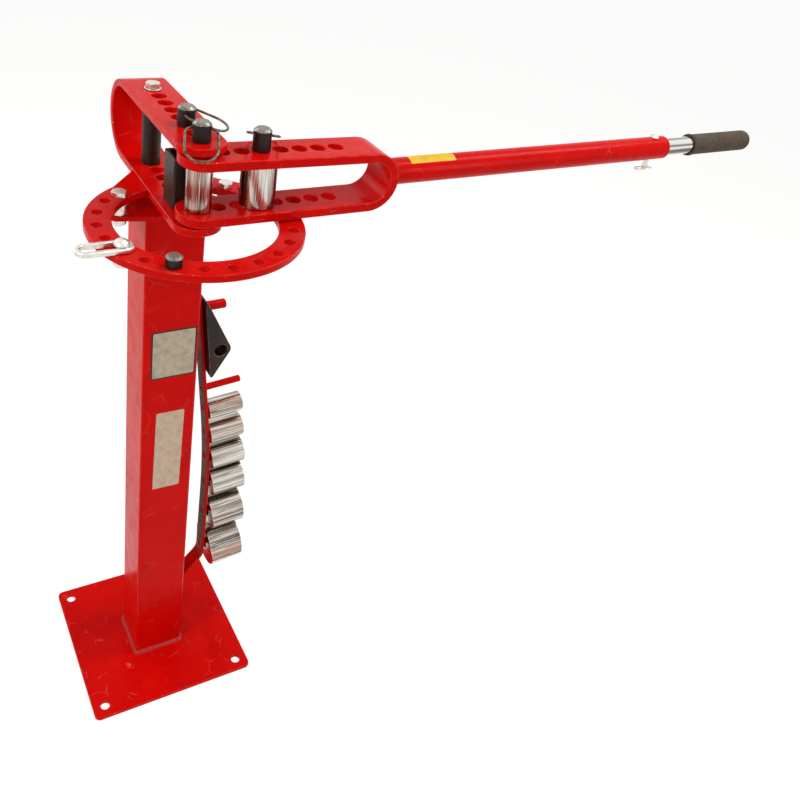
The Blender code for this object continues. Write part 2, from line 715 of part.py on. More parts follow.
def make_stop_pin():
    place = ring_point(RING_HOLE_CIRCLE_R, hole_angle(STOP_HOLE_INDEX))
    head, shank = STOP_HEAD_D / 2, STOP_SHANK_D / 2
    low = -RING_THICK - STOP_TAIL
    profile = [(0, STOP_HEAD_HEIGHT), (head - STOP_CHAMFER, STOP_HEAD_HEIGHT),
               (head, STOP_HEAD_HEIGHT - STOP_CHAMFER), (head, 0), (shank, 0),
               (shank, low + STOP_CHAMFER / 2), (shank - STOP_CHAMFER / 2, low), (0, low)]
    add("stop_pin", turned_mesh(profile), BLACK_OXIDE, (*place.xy, Z_RING_TOP + GAP))


def make_link():
    """A slotted link that lies on the ring, turning and sliding on its shouldered bolt."""
    place = ring_point(RING_HOLE_CIRCLE_R, hole_angle(LINK_HOLE_INDEX))
    straight = LINK_LENGTH - LINK_WIDTH
    quarter = math.pi / 2
    slot_end = LINK_SLOT_WIDTH / 2
    loops = []
    for radius in (LINK_WIDTH / 2, slot_end):
        loops.append(arc((0, 0), radius, -quarter, quarter, 2 * CORNER_STEP_COUNT)
                     + arc((-straight, 0), radius, quarter, 3 * quarter, 2 * CORNER_STEP_COUNT))
    mesh = plate_mesh(loops, LINK_THICK)
    mesh.transform(Matrix.Translation((LINK_SLOT_PLAY, 0, 0)))
    z_link = Z_RING_TOP + GAP
    add("stop_link", mesh, ZINC_PLATE, (*place.xy, z_link + LINK_THICK / 2))
    z_head = z_link + LINK_THICK + GAP
    head, shank = LINK_BOLT_HEAD_D / 2, STOP_SHANK_D / 2
    under = Z_RING - z_head - GAP
    low = under - LINK_NUT_HEIGHT - GAP
    profile = [(0, LINK_BOLT_HEAD_HEIGHT), (head / 2, LINK_BOLT_HEAD_HEIGHT - LINK_BOLT_CROWN / 4),
               (head * 0.85, LINK_BOLT_HEAD_HEIGHT - LINK_BOLT_CROWN),
               (head, LINK_BOLT_HEAD_HEIGHT - 2 * LINK_BOLT_CROWN + GAP), (head, 0),
               (shank, 0), (shank, low), (0, low)]
    add("link_bolt", turned_mesh(profile, HOLE_FACET_COUNT), ZINC_PLATE, (*place.xy, z_head))
    bore = shank + GAP
    collar = [(LINK_NUT_D / 2, LINK_NUT_HEIGHT), (LINK_NUT_D / 2, 0), (bore, 0),
              (bore, LINK_NUT_HEIGHT)]
    add("link_collar", turned_mesh(collar, HOLE_FACET_COUNT, bored=True), ZINC_PLATE,
        (*place.xy, Z_RING - GAP - LINK_NUT_HEIGHT))


# Everything that swings with the fork. Places are relative to the pivot axis at the floor.

def make_fork(swing):
    u_bar("fork_arm", FORK_THICK, FORK_INNER_GAP, FORK_REACH, (0, 0, Z_FORK), 0, FORK_DROP,
          swing)
    z_die = Z_FORK_SEAT + GAP
    add("centre_die", die_mesh(CENTRE_DIE_D, DIE_LENGTH), POLISHED_STEEL, (0, 0, z_die),
        parent=swing)
    station = Vector((FOLLOWER_X, 0, 0))
    z_seat = Z_FORK_TOP - (FOLLOWER_X - PIN_HEAD_D / 2) * FORK_SLOPE
    add("follower_die", die_mesh(FOLLOWER_DIE_D, DIE_LENGTH), POLISHED_STEEL,
        (*station.xy, z_die), parent=swing)
    add_drive_pin("follower_pin", "follower_bail", station, z_seat,
                  Z_FORK - FOLLOWER_PIN_TAIL, FOLLOWER_HEAD_HEIGHT, math.radians(60),
                  math.radians(21), swing)


def tube_mesh(diameter, wall, start, end):
    """A plain tube along +X between two distances."""
    outer, inner = diameter / 2, diameter / 2 - wall
    mesh = turned_mesh([(outer, end), (outer, start), (inner, start), (inner, end)], bored=True)
    mesh.transform(Matrix.Rotation(math.pi / 2, 4, "Y"))
    return mesh


def make_handle(swing):
    """The handle tube is coped to the round back of the fork; the extension slides in it.

    Everything here is placed from the middle of the fork's bend, along the handle's own axis.
    """
    axis = add_axis("handle_axis", (FORK_BEND, 0, Z_HANDLE), (0, -HANDLE_RISE, 0), swing)
    tube_end = FORK_BEND_R + HANDLE_LENGTH
    start = math.sqrt(FORK_BEND_R ** 2 - (HANDLE_D / 2) ** 2)
    tube = add("handle_tube", tube_mesh(HANDLE_D, HANDLE_WALL, start, tube_end), RED_ENAMEL,
               parent=axis)
    cope = rod_mesh(2 * (FORK_BEND_R + GAP), BAR_WIDTH, 3 * ROUND_FACET_COUNT)
    shape(tube, cope, "DIFFERENCE", rotation=ALONG_Y)
    pin_x = tube_end - LOCK_PIN_INSET
    pin_hole = rod_mesh(LOCK_PIN_HOLE_D, HANDLE_D + OVERRUN, SMALL_FACET_COUNT)
    shape(tube, pin_hole, "DIFFERENCE", (pin_x, 0, 0))
    grip_start = tube_end + EXTENSION_SHOWN
    grip_end = grip_start + GRIP_LENGTH
    rod_end = grip_end - GRIP_END_WALL - GAP
    rod = add("handle_extension",
              tube_mesh(EXTENSION_D, EXTENSION_WALL, tube_end - EXTENSION_INSERT, rod_end),
              CHROME_PLATE, parent=axis)
    shape(rod, pin_hole, "DIFFERENCE", (pin_x, 0, 0))
    make_grip(axis, grip_start, grip_end)
    make_lock_pin(axis, pin_x)


def make_grip(axis, start, end):
    """A rubber sleeve with a rolled collar and a rounded closed end."""
    outer = GRIP_D / 2
    inner = EXTENSION_D / 2 + GAP
    dome = arc((outer - GRIP_ROUND, end - GRIP_ROUND), GRIP_ROUND, math.pi / 2, 0, CORNER_STEP_COUNT)
    collar = outer + GRIP_COLLAR / 2
    profile = [(0, end)] + dome
    profile += [(outer, start + 3 * GRIP_COLLAR), (collar, start + 2 * GRIP_COLLAR),
                (collar, start + GRIP_COLLAR / 2), (outer, start), (inner, start),
                (inner, end - GRIP_END_WALL), (0, end - GRIP_END_WALL)]
    mesh = turned_mesh(profile)
    mesh.transform(Matrix.Rotation(math.pi / 2, 4, "Y"))
    add("hand_grip", mesh, BLACK_RUBBER, parent=axis)


def make_lock_pin(axis, pin_x):
    seat = HANDLE_D / 2 + GAP
    low = -HANDLE_D / 2 - LOCK_PIN_TAIL
    head, shank = LOCK_PIN_HEAD_D / 2, LOCK_PIN_D / 2
    profile = [(0, seat + LOCK_PIN_HEAD_HEIGHT), (head / 2, seat + LOCK_PIN_HEAD_HEIGHT * 0.9),
               (head, seat + LOCK_PIN_HEAD_HEIGHT / 2), (head, seat), (shank, seat),
               (shank, low), (0, low)]
    pin = add("lock_pin", turned_mesh(profile, HOLE_FACET_COUNT), ZINC_PLATE, (pin_x, 0, 0),
              parent=axis)
    clip_z = low + CLIP_HOLE_RISE
    shape(pin, rod_mesh(CLIP_HOLE_D, LOCK_PIN_D + OVERRUN, SMALL_FACET_COUNT), "DIFFERENCE",
          (0, 0, clip_z), ALONG_X)
    beside_pin = -shank - CLIP_WIRE_D / 2 - GAP
    far = CLIP_EYE_R - CLIP_LENGTH
    path = [(CLIP_STRAIGHT_PAST, 0)]
    path += arc((far, -CLIP_EYE_R), CLIP_EYE_R, math.pi / 2, math.pi * 1.5, 2 * CORNER_STEP_COUNT)
    path += [(-LOCK_PIN_D, beside_pin - CLIP_FLARE), (-shank, beside_pin - GAP),
             (shank, beside_pin - GAP), (LOCK_PIN_D, beside_pin - CLIP_FLARE)]
    add("lock_pin_clip", wire_mesh([(x, y, 0) for x, y in path], CLIP_WIRE_D), ZINC_PLATE,
        (pin_x, 0, clip_z), parent=axis)


# Storage bracket, pegs, spare dies and the angle block

def bracket_path():
    """The bar's inner face in the XZ plane, from its top end down to its foot."""
    far = POST_FACE + BRACKET_STAND_OFF
    shoulder = BRACKET_TOP - BRACKET_SHOULDER_DROP
    heel = shoulder - BRACKET_STRAIGHT
    corners = [(POST_FACE, BRACKET_TOP, 0), (far, shoulder, BRACKET_SHOULDER_R),
               (far, heel, BRACKET_HEEL_R), (POST_FACE, heel - BRACKET_HEEL_DROP, 0)]
    return rounded(corners, closed=False, steps=2 * CORNER_STEP_COUNT)


def bracket_x(z):
    """How far out the bar's inner face stands at a height."""
    path = bracket_path()
    for (x0, z0), (x1, z1) in zip(path, path[1:]):
        if z1 <= z <= z0:
            return x0 + (x1 - x0) * (z - z0) / (z1 - z0)
    return path[-1][0]


def rack_places():
    """The height and the die diameter of each rack peg, from the empty one down."""
    sizes = [inches * INCH for inches in RACK_DIE_INCHES]
    z = BRACKET_TOP - EMPTY_PEG_DROP
    places = [(z, None)]
    above = sizes[0]
    for size, share in zip(sizes, RACK_GAP_SHARES):
        z -= above / 2 + RACK_GAP * share + size / 2
        places.append((z, size))
        above = size
    return places


def bar_crossing(z):
    """How much of a tilted peg lies in the bar's thickness at a height."""
    return BRACKET_THICK / math.cos(PEG_TILT) + BRACKET_THICK * abs(bracket_lean(z) - PEG_TILT)


def bracket_lean(z):
    """How far the bar leans from upright at a height."""
    step = BRACKET_THICK
    return math.atan2(bracket_x(z - step) - bracket_x(z + step), 2 * step)


def peg_frame(name, z, tilt):
    """An empty on the peg's axis, at the bar's inner face, whose Z runs out along the peg."""
    return add_axis(name, (bracket_x(z), 0, z), (0, math.pi / 2 - tilt, 0))


def add_peg(name, axis, diameter, crossing, shown):
    """A round peg that starts just inside the bar's inner face."""
    radius = diameter / 2
    end = crossing + shown
    chamfer = radius / 5
    profile = [(0, end), (radius - chamfer, end), (radius, end - chamfer),
               (radius, PEG_RECESS), (0, PEG_RECESS)]
    add(name, turned_mesh(profile, HOLE_FACET_COUNT), RED_ENAMEL, parent=axis)


def make_bracket():
    """The bar with its peg holes, the pegs, and the dies that hang on them."""
    inner = bracket_path()
    outer = beside(inner, BRACKET_THICK)
    side_view = plate_mesh([inner + outer[::-1]], BRACKET_WIDTH)
    side_view.transform(Matrix.Rotation(math.pi / 2, 4, "X"))
    bar = add("storage_bracket", side_view, RED_ENAMEL)
    block_z = BRACKET_TOP - BLOCK_PEG_DROP
    holes = [(z, PEG_D, PEG_TILT) for z, size in rack_places()]
    for z, diameter, tilt in holes + [(block_z, BLOCK_PEG_D, BLOCK_PEG_TILT)]:
        shape(bar, rod_mesh(diameter + 2 * GAP, 4 * BRACKET_THICK), "DIFFERENCE",
              (bracket_x(z), 0, z), (0, math.pi / 2 - tilt, 0))
    for count, (z, size) in enumerate(rack_places()):
        axis = peg_frame("peg_axis_%d" % count, z, PEG_TILT)
        add_peg("die_peg_%d" % count, axis, PEG_D, bar_crossing(z), PEG_SHOWN)
        if size:
            add_rack_die(count, axis, z, size)
    block_axis = peg_frame("block_peg_axis", block_z, BLOCK_PEG_TILT)
    add_peg("block_peg", block_axis, BLOCK_PEG_D, bar_crossing(block_z), BLOCK_PEG_SHOWN)


def add_rack_die(count, axis, z, size):
    """A die hanging by the top of its bore, with its end face just clear of the bar."""
    hang = (DIE_BORE - PEG_D) / 2 - GAP
    skew = abs(bracket_lean(z) - PEG_TILT)
    stand = bar_crossing(z) + GAP + (size / 2 + hang) * math.sin(skew)
    add("rack_die_%d" % count, die_mesh(size, DIE_LENGTH), POLISHED_STEEL, (hang, 0, stand),
        parent=axis)


def make_angle_block():
    """A three-cornered block with a round bore; it hangs on its peg against the bar."""
    peg_z = BRACKET_TOP - BLOCK_PEG_DROP
    out = BRACKET_THICK / math.cos(bracket_lean(peg_z)) + 2 * GAP
    peg_x = bracket_x(peg_z)
    top_z, low_z = peg_z + BLOCK_ABOVE_PEG, peg_z - BLOCK_BELOW_PEG
    nose_z = peg_z - BLOCK_NOSE_BELOW_PEG
    nose = (bracket_x(nose_z) + out + BLOCK_NOSE_OUT, nose_z)
    corners = [(bracket_x(top_z) + out, top_z, BLOCK_TIP_R),
               (bracket_x(low_z) + out, low_z, BLOCK_TIP_R), (*nose, BLOCK_NOSE_R)]
    bore_x = nose[0] - BLOCK_NOSE_R - BLOCK_BORE_WALL
    outline = [(x - peg_x, z - peg_z) for x, z in rounded(corners)]
    bore = circle((bore_x - peg_x, nose_z - peg_z), BLOCK_BORE)
    mesh = plate_mesh([outline, bore], DIE_LENGTH)
    mesh.transform(Matrix.Rotation(math.pi / 2, 4, "X"))
    block = add("angle_block", mesh, BLACK_PAINT, (peg_x, 0, peg_z))
    hole = BLOCK_PEG_D + BLOCK_PEG_HOLE_PLAY + 2 * GAP
    shape(block, rod_mesh(hole, BLOCK_NOSE_BELOW_PEG), "DIFFERENCE",
          (0, 0, -BLOCK_PEG_HOLE_PLAY / 2), (0, math.pi / 2 - BLOCK_PEG_TILT, 0))


clear_scene()
PARTS = make_collection("pipe_bender")
CUTTERS = make_collection("cutters")
make_base_plate()
make_base_weld()
make_post()
make_post_top_plate()
make_degree_ring()
make_ring_bolts()
make_frame()
make_pivot_washer()
make_reaction_block()
make_fixed_pins()
make_stop_pin()
make_link()
swing_axis = add_axis("swing_axis", PIVOT)
make_fork(swing_axis)
make_handle(swing_axis)
make_bracket()
make_angle_block()
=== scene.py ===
"""Looks of the pedestal pipe bender: soft-edged painted bars, pins rubbed bare, polished dies."""

import bisect
import math

import bmesh
import bpy
from mathutils import Matrix, Vector
from mathutils.geometry import tessellate_polygon


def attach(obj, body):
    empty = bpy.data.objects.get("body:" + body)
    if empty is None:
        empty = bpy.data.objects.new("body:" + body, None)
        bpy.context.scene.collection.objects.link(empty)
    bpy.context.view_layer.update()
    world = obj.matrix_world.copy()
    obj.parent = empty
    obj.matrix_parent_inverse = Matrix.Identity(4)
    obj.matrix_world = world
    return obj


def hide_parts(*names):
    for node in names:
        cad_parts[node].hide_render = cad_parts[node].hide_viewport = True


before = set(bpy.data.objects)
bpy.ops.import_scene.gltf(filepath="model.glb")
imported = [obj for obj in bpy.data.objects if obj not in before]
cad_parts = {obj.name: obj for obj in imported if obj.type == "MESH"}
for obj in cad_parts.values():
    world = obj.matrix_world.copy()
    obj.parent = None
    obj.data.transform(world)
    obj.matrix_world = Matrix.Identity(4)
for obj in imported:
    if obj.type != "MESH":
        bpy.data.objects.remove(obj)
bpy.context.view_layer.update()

MM = 0.001
INCH = 25.4 * MM
TURN = 2 * math.pi
QUARTER = math.pi / 2
GAP = 0.3 * MM
OVERRUN = 4 * MM

# A turned profile's edge layer, for wear and painted highlights, is set where its segments are
# shorter and its turn is sharper than these
EDGE_MARK_LENGTH, EDGE_MARK_TURN = 1.2 * MM, math.radians(8)

# Sizes of the part, as its solids have them but for the bars' noses and the bails' bends
BASE_SIDE, BASE_THICK, BASE_CORNER_R = 270 * MM, 6 * MM, 9 * MM
BASE_HOLE_D, BASE_HOLE_INSET, BASE_WELD_LEG = 15 * MM, 20 * MM, 6 * MM
POST_SIDE, POST_WALL, POST_CORNER_R, POST_LENGTH = 80 * MM, 3 * MM, 5 * MM, 840 * MM
TOP_PLATE_THICK, TOP_PLATE_FRONT_LIP, TOP_PLATE_REAR_LIP = 6 * MM, 4 * MM, 5 * MM
TOP_PLATE_FRONT_R, TOP_PLATE_WING_R = 229 * MM, 13 * MM
PIVOT_OFFSET = 105 * MM
PITCH, BAR_WIDTH, BAR_NOSE, BAR_HOLE_D, BAR_HOLES = 25 * MM, 60 * MM, 26 * MM, 19.8 * MM, 8
FORK_THICK, FORK_INNER_GAP, FORK_REACH, FORK_DROP = 12 * MM, 58 * MM, 257 * MM, 4 * MM
FRAME_THICK, FRAME_INNER_GAP, FRAME_REACH = 9.5 * MM, 90 * MM, 264.5 * MM
PIVOT_WASHER_THICK, PIVOT_WASHER_D = 3 * MM, 46 * MM
RING_THICK, RING_HOLE_CIRCLE_R = 9.5 * MM, 115 * MM
RING_OUTER_LAND, RING_INNER_LAND = 15 * MM, 17 * MM
RING_HOLE_D, RING_HOLES, RING_HOLE_STEP = 13.4 * MM, 17, math.radians(16.2)
RING_TAIL_ANGLE, RING_TAIL_REACH, RING_LIFT = math.radians(57.8), 156 * MM, 14 * MM
LINK_HOLE, STOP_HOLE = 4, 6
RING_BOLT_ANGLE, RING_BOLT_STEP_IN = math.radians(50.1), 6.7 * MM
BOLT_D, BOLT_ACROSS_FLATS, BOLT_HEAD, NUT_HEIGHT = 10 * MM, 17 * MM, 6.4 * MM, 8 * MM
BOLT_TAIL, THREAD_PITCH, THREAD_DEPTH = 3 * MM, 1.5 * MM, 0.6 * MM
BOLT_BORE, HEX_FACE_SHARE = BOLT_D + 3 * GAP, 0.96
RING_SPACER_D, FRAME_SPACER_D = 20 * MM, 25 * MM
FRAME_WASHER_D, FRAME_WASHER_THICK = 21.5 * MM, 2 * MM
PIN_D, PIN_HEAD_D, PIN_CHAMFER, PIN_TAIL = 19 * MM, 22 * MM, 3 * MM, 6 * MM
PIN_HEAD, FOLLOWER_HEAD, FOLLOWER_PIN_TAIL = 23.4 * MM, 27.2 * MM, 5 * MM
BAIL_HOLE_DEPTH, BAIL_WIRE_D, BAIL_HOLE_D = 8 * MM, 3 * MM, 4.2 * MM
BAIL_WIDTH, BAIL_LENGTH, BAIL_BEND_R, BAIL_END_GAP = 40 * MM, 52 * MM, 10 * MM, 3 * MM
DIE_BORE, DIE_CHAMFER, DIE_END_PLAY = 20 * MM, 1.2 * MM, 0.7 * MM
CENTRE_DIE_D, FOLLOWER_DIE_D = 1.25 * INCH, 1.75 * INCH
RACK_DIE_INCHES = (1.25, 1.5, 1.75, 2.0, 2.5, 3.0)
REACTION_SIDE, REACTION_WALL, REACTION_CORNER_R = 38 * MM, 4 * MM, 3 * MM
REACTION_HEIGHT = 64 * MM
STOP_HEAD_D, STOP_HEAD, STOP_SHANK_D, STOP_TAIL = 19 * MM, 13.5 * MM, 12.4 * MM, 5 * MM
STOP_CHAMFER = 2.5 * MM
LINK_LENGTH, LINK_WIDTH, LINK_THICK = 65 * MM, 25 * MM, 6 * MM
LINK_SLOT_WIDTH, LINK_SLOT_PLAY = 14 * MM, 1.2 * MM
LINK_BOLT_HEAD_D, LINK_BOLT_HEAD, LINK_NUT_D, LINK_NUT_HEIGHT = 17.5 * MM, 7 * MM, 19 * MM, 9 * MM
HANDLE_D, HANDLE_WALL, HANDLE_LENGTH = 35 * MM, 3.5 * MM, 507 * MM
HANDLE_RISE = math.radians(0.25)
EXTENSION_D, EXTENSION_WALL = 27 * MM, 3 * MM
EXTENSION_INSERT, EXTENSION_SHOWN = 76 * MM, 59 * MM
GRIP_D, GRIP_LENGTH, GRIP_END_WALL, GRIP_ROUND = 32 * MM, 137 * MM, 5 * MM, 9 * MM
GRIP_COLLAR = 2.2 * MM
LOCK_PIN_INSET, LOCK_PIN_D, LOCK_PIN_HOLE_D = 24 * MM, 8 * MM, 8.8 * MM
LOCK_PIN_HEAD_D, LOCK_PIN_HEAD, LOCK_PIN_TAIL = 14 * MM, 4 * MM, 18 * MM
CLIP_WIRE_D, CLIP_HOLE_D, CLIP_HOLE_RISE = 2.4 * MM, 3.4 * MM, 5 * MM
CLIP_STRAIGHT_PAST, CLIP_LENGTH, CLIP_EYE_R, CLIP_FLARE = 9 * MM, 24 * MM, 4.5 * MM, 2.5 * MM
BRACKET_WIDTH, BRACKET_THICK, BRACKET_TOP = 25 * MM, 5 * MM, 752 * MM
BRACKET_STAND_OFF, BRACKET_SHOULDER_DROP = 39 * MM, 353 * MM
BRACKET_SHOULDER_R, BRACKET_STRAIGHT = 1500 * MM, 222 * MM
BRACKET_HEEL_R, BRACKET_HEEL_DROP = 25 * MM, 46 * MM
PEG_D, PEG_SHOWN, PEG_TILT, PEG_RECESS = 10.5 * MM, 57 * MM, math.radians(5), 1.5 * MM
EMPTY_PEG_DROP, RACK_GAP = 218 * MM, 10 * MM
RACK_GAP_SHARES = (0.82, 1.21, 1.07, 0.64, 1.12, 0.87)
BLOCK_PEG_D, BLOCK_PEG_TILT = 14 * MM, math.radians(1)
BLOCK_PEG_DROP, BLOCK_PEG_SHOWN = 71 * MM, 39 * MM
BLOCK_ABOVE_PEG, BLOCK_BELOW_PEG, BLOCK_NOSE_OUT = 32 * MM, 114 * MM, 36 * MM
BLOCK_NOSE_BELOW_PEG, BLOCK_NOSE_R, BLOCK_TIP_R = 62 * MM, 12 * MM, 2.5 * MM
BLOCK_BORE, BLOCK_BORE_WALL, BLOCK_PEG_HOLE_PLAY = 19.8 * MM, 5.5 * MM, 1 * MM

# Sizes of the labels, which only this model has
PLATE_X, PLATE_Z, PLATE_WIDTH, PLATE_HEIGHT = 3.2 * MM, 638 * MM, 65 * MM, 80 * MM
PLATE_BORDER, PLATE_LIFT, BORDER_LIFT = 2.2 * MM, 0.4 * MM, 0.25 * MM
STICKER_X, STICKER_Z, STICKER_TILT = 1 * MM, 462 * MM, math.radians(-1)
STICKER_WIDTH, STICKER_HEIGHT, STICKER_LIFT = 42 * MM, 147 * MM, 0.25 * MM
LABEL_CORNER_R, LABEL_EDGE = 2 * MM, 0.08 * MM
FILM_START, FILM_END, FILM_LIFT, FILM_THICK = 68 * MM, 139 * MM, 0.02 * MM, 0.2 * MM
FILM_LOW_ANGLE, FILM_SPAN = math.radians(50), math.radians(62)

# Heights in millimetres between which the painted shade on the rack bar's inner face starts and ends
SHADE_START, SHADE_END = (150, 210), (700, 600)

# Camera and light: places in metres, turns in degrees, lens in millimetres
CAMERA_PLACE, CAMERA_TURNS = (-0.338708, -0.957644, 1.334235), (58.4588, -7.5771, -27.7076)
CAMERA_SENSOR, CAMERA_LENS, CAMERA_SHIFT, CAMERA_FAR = 36, 38.369, (0.08897, -0.11779), 200
FLOOR_REACH, FLOOR_GLOW, ROOM_FILL, ROOM_SHOWN = 40, 0.82, 0.42, 1.0

# Heights and places that follow from the part's sizes
Z_POST_FOOT = BASE_THICK + GAP
Z_TOP_PLATE = Z_POST_FOOT + POST_LENGTH + GAP
Z_RING = Z_TOP_PLATE + TOP_PLATE_THICK + RING_LIFT
Z_RING_TOP = Z_RING + RING_THICK
Z_FRAME = Z_RING_TOP - FRAME_THICK
Z_FRAME_SEAT = Z_RING_TOP
Z_FRAME_TOP = Z_FRAME + FRAME_INNER_GAP + 2 * FRAME_THICK
Z_FORK = Z_FRAME_SEAT + PIVOT_WASHER_THICK
Z_FORK_SEAT = Z_FORK + FORK_THICK
Z_FORK_TOP = Z_FORK + FORK_INNER_GAP + 2 * FORK_THICK
FORK_BEND_R = (FORK_INNER_GAP + 2 * FORK_THICK - FORK_DROP) / 2
FORK_BEND = FORK_REACH - FORK_BEND_R
FORK_SLOPE = FORK_DROP / FORK_BEND
FOLLOWER_X = 3 * PITCH
DIE_LENGTH = FORK_INNER_GAP - (FOLLOWER_X + FOLLOWER_DIE_D / 2) * FORK_SLOPE - DIE_END_PLAY
POST_FACE = POST_SIDE / 2 + GAP
PIVOT = Vector((0, -PIVOT_OFFSET, 0))


# Outlines

def arc(x, y, radius, start, end, steps):
    angles = [start + (end - start) * i / steps for i in range(steps + 1)]
    return [(x + radius * math.cos(a), y + radius * math.sin(a)) for a in angles]


def circle(x, y, diameter, sides=48):
    return arc(x, y, diameter / 2, 0, TURN, sides)[:-1]


def rounded(corners, closed=True, steps=8):
    """A path through corners given as (x, y, radius), each rounded by its radius."""
    points = []
    for i, (x, y, radius) in enumerate(corners):
        if radius == 0 or (not closed and i in (0, len(corners) - 1)):
            points.append((x, y))
            continue
        here = Vector((x, y))
        back = (Vector(corners[i - 1][:2]) - here).normalized()
        on = (Vector(corners[(i + 1) % len(corners)][:2]) - here).normalized()
        half = back.angle(on) / 2
        centre = here + (back + on).normalized() * radius / math.sin(half)
        first = here + back * radius / math.tan(half)
        last = here + on * radius / math.tan(half)
        start = math.atan2(*(first - centre).yx)
        sweep = math.remainder(math.atan2(*(last - centre).yx) - start, TURN)
        points += arc(centre.x, centre.y, radius, start, start + sweep, steps)
    return points


def rounded_box(width, height, radius, steps=8):
    signs = ((-1, -1), (1, -1), (1, 1), (-1, 1))
    return rounded([(s * width / 2, t * height / 2, radius) for s, t in signs], steps=steps)


def rounded_square(side, radius, steps=8):
    return rounded_box(side, side, radius, steps)


def length_of(path):
    return sum((Vector(b) - Vector(a)).length for a, b in zip(path, path[1:]))


def drawn_in(loop, distance):
    """A closed outline moved to its left, which is where its metal lies."""
    moved = []
    for i, here in enumerate(loop):
        here = Vector(here)
        first = (here - Vector(loop[i - 1])).normalized()
        second = (Vector(loop[(i + 1) % len(loop)]) - here).normalized()
        along = (first + second).normalized()
        reach = distance / max(along.dot(second), 0.4)
        moved.append((here.x - along.y * reach, here.y + along.x * reach))
    return moved


def wound(loop, left):
    """The loop running anticlockwise if left, and clockwise if not."""
    area = sum(a[0] * b[1] - b[0] * a[1] for a, b in zip(loop, loop[1:] + loop[:1]))
    return loop if (area > 0) == left else loop[::-1]


# Meshes

def mesh_of(made, crease=40):
    """The finished mesh of a bmesh, smooth but for edges sharper than the crease."""
    bmesh.ops.recalc_face_normals(made, faces=made.faces)
    mesh = bpy.data.meshes.new("made")
    made.to_mesh(mesh)
    made.free()
    mesh.shade_smooth()
    mesh.set_sharp_from_angle(angle=math.radians(crease))
    return mesh


def flat_piece(loops, thick, edge, hole_edge=None, steps=3):
    """Sheet or bar cut to an outline and its holes, with every edge rounded over.

    The layer called edge is 1 in the middle of a rounding, where paint and oxide wear off and where
    highlights are painted.
    """
    made = bmesh.new()
    wear_and_highlight = made.verts.layers.float.new("edge")
    caps = ([], [])
    for count, loop in enumerate(loops):
        loop = wound(loop, count == 0)
        radius = hole_edge if count and hole_edge else edge
        rings = []
        for side in (-1, 1):
            for step in range(steps + 1):
                turn = QUARTER * (step if side < 0 else steps - step) / steps
                z = side * (thick / 2 - radius * (1 - math.cos(turn)))
                ring = [made.verts.new((x, y, z))
                        for x, y in drawn_in(loop, radius * (1 - math.sin(turn)))]
                for vert in ring:
                    vert[wear_and_highlight] = math.sin(2 * turn)
                rings.append(ring)
        for low, high in zip(rings, rings[1:]):
            for i in range(len(loop)):
                j = (i + 1) % len(loop)
                made.faces.new((low[i], low[j], high[j], high[i]))
        caps[0].append(rings[0])
        caps[1].append(rings[-1])
    for cap in caps:
        corners = [vert for ring in cap for vert in ring]
        for triangle in tessellate_polygon([[vert.co for vert in ring] for ring in cap]):
            made.faces.new([corners[i] for i in triangle])
    return made


def bent(made, path):
    """Bends a flat strip, which lies along X from zero, to a path of (x, z) points."""
    points = [Vector(point) for point in path]
    runs = [0]
    for a, b in zip(points, points[1:]):
        runs.append(runs[-1] + (b - a).length)
    for run in runs[1:-1]:
        everything = made.verts[:] + made.edges[:] + made.faces[:]
        bmesh.ops.bisect_plane(made, geom=everything, dist=GAP / 1000, plane_co=(run, 0, 0),
                               plane_no=(1, 0, 0))
    lefts = []
    for i in range(len(points)):
        along = (points[min(i + 1, len(points) - 1)] - points[max(i - 1, 0)]).normalized()
        lefts.append(Vector((-along.y, along.x)))
    for vert in made.verts:
        i = min(max(bisect.bisect_right(runs, vert.co.x) - 1, 0), len(points) - 2)
        share = (vert.co.x - runs[i]) / (runs[i + 1] - runs[i])
        spot = points[i].lerp(points[i + 1], share)
        spot += lefts[i].lerp(lefts[i + 1], share).normalized() * vert.co.z
        vert.co = (spot.x, vert.co.y, spot.y)
    return made


def turned(profile, sides=72, bored=False, steps=3):
    """A turned piece. The profile is (radius, z, corner radius), down its outer side."""
    made = bmesh.new()
    wear_and_highlight = made.verts.layers.float.new("edge")
    path = rounded(profile, closed=bored, steps=steps)
    rings = []
    for count, (radius, z) in enumerate(path):
        angles = [TURN * i / sides for i in range(sides if radius > GAP / 100 else 1)]
        ring = [made.verts.new((radius * math.cos(a), radius * math.sin(a), z)) for a in angles]
        back = Vector(path[count - 1]) - Vector((radius, z))
        on = Vector(path[(count + 1) % len(path)]) - Vector((radius, z))
        rounding = max(back.length, on.length) < EDGE_MARK_LENGTH
        if len(ring) > 1 and rounding and math.pi - back.angle(on, math.pi) > EDGE_MARK_TURN:
            for vert in ring:
                vert[wear_and_highlight] = 1
        rings.append(ring)
    pairs = list(zip(rings, rings[1:])) + ([(rings[-1], rings[0])] if bored else [])
    for a, b in pairs:
        for i in range(sides):
            j = (i + 1) % sides
            corners = (a[i % len(a)], b[i % len(b)], b[j % len(b)], a[j % len(a)])
            corners = list(dict.fromkeys(corners))
            if len(corners) > 2:
                made.faces.new(corners)
    return made


def rod(diameter, length, sides=40):
    """A plain rod along Z, centred on its length, to cut with."""
    half, radius = length / 2, diameter / 2
    return turned([(0, half, 0), (radius, half, 0), (radius, -half, 0), (0, -half, 0)], sides)


def linked(name, data):
    """An object of the scene that holds some data."""
    made = bpy.data.objects.new(name, data)
    bpy.context.scene.collection.objects.link(made)
    return made


def evaluated(piece):
    """A copy of an object's mesh, with its modifiers and bevel worked out."""
    graph = bpy.context.evaluated_depsgraph_get()
    return bpy.data.meshes.new_from_object(piece.evaluated_get(graph))


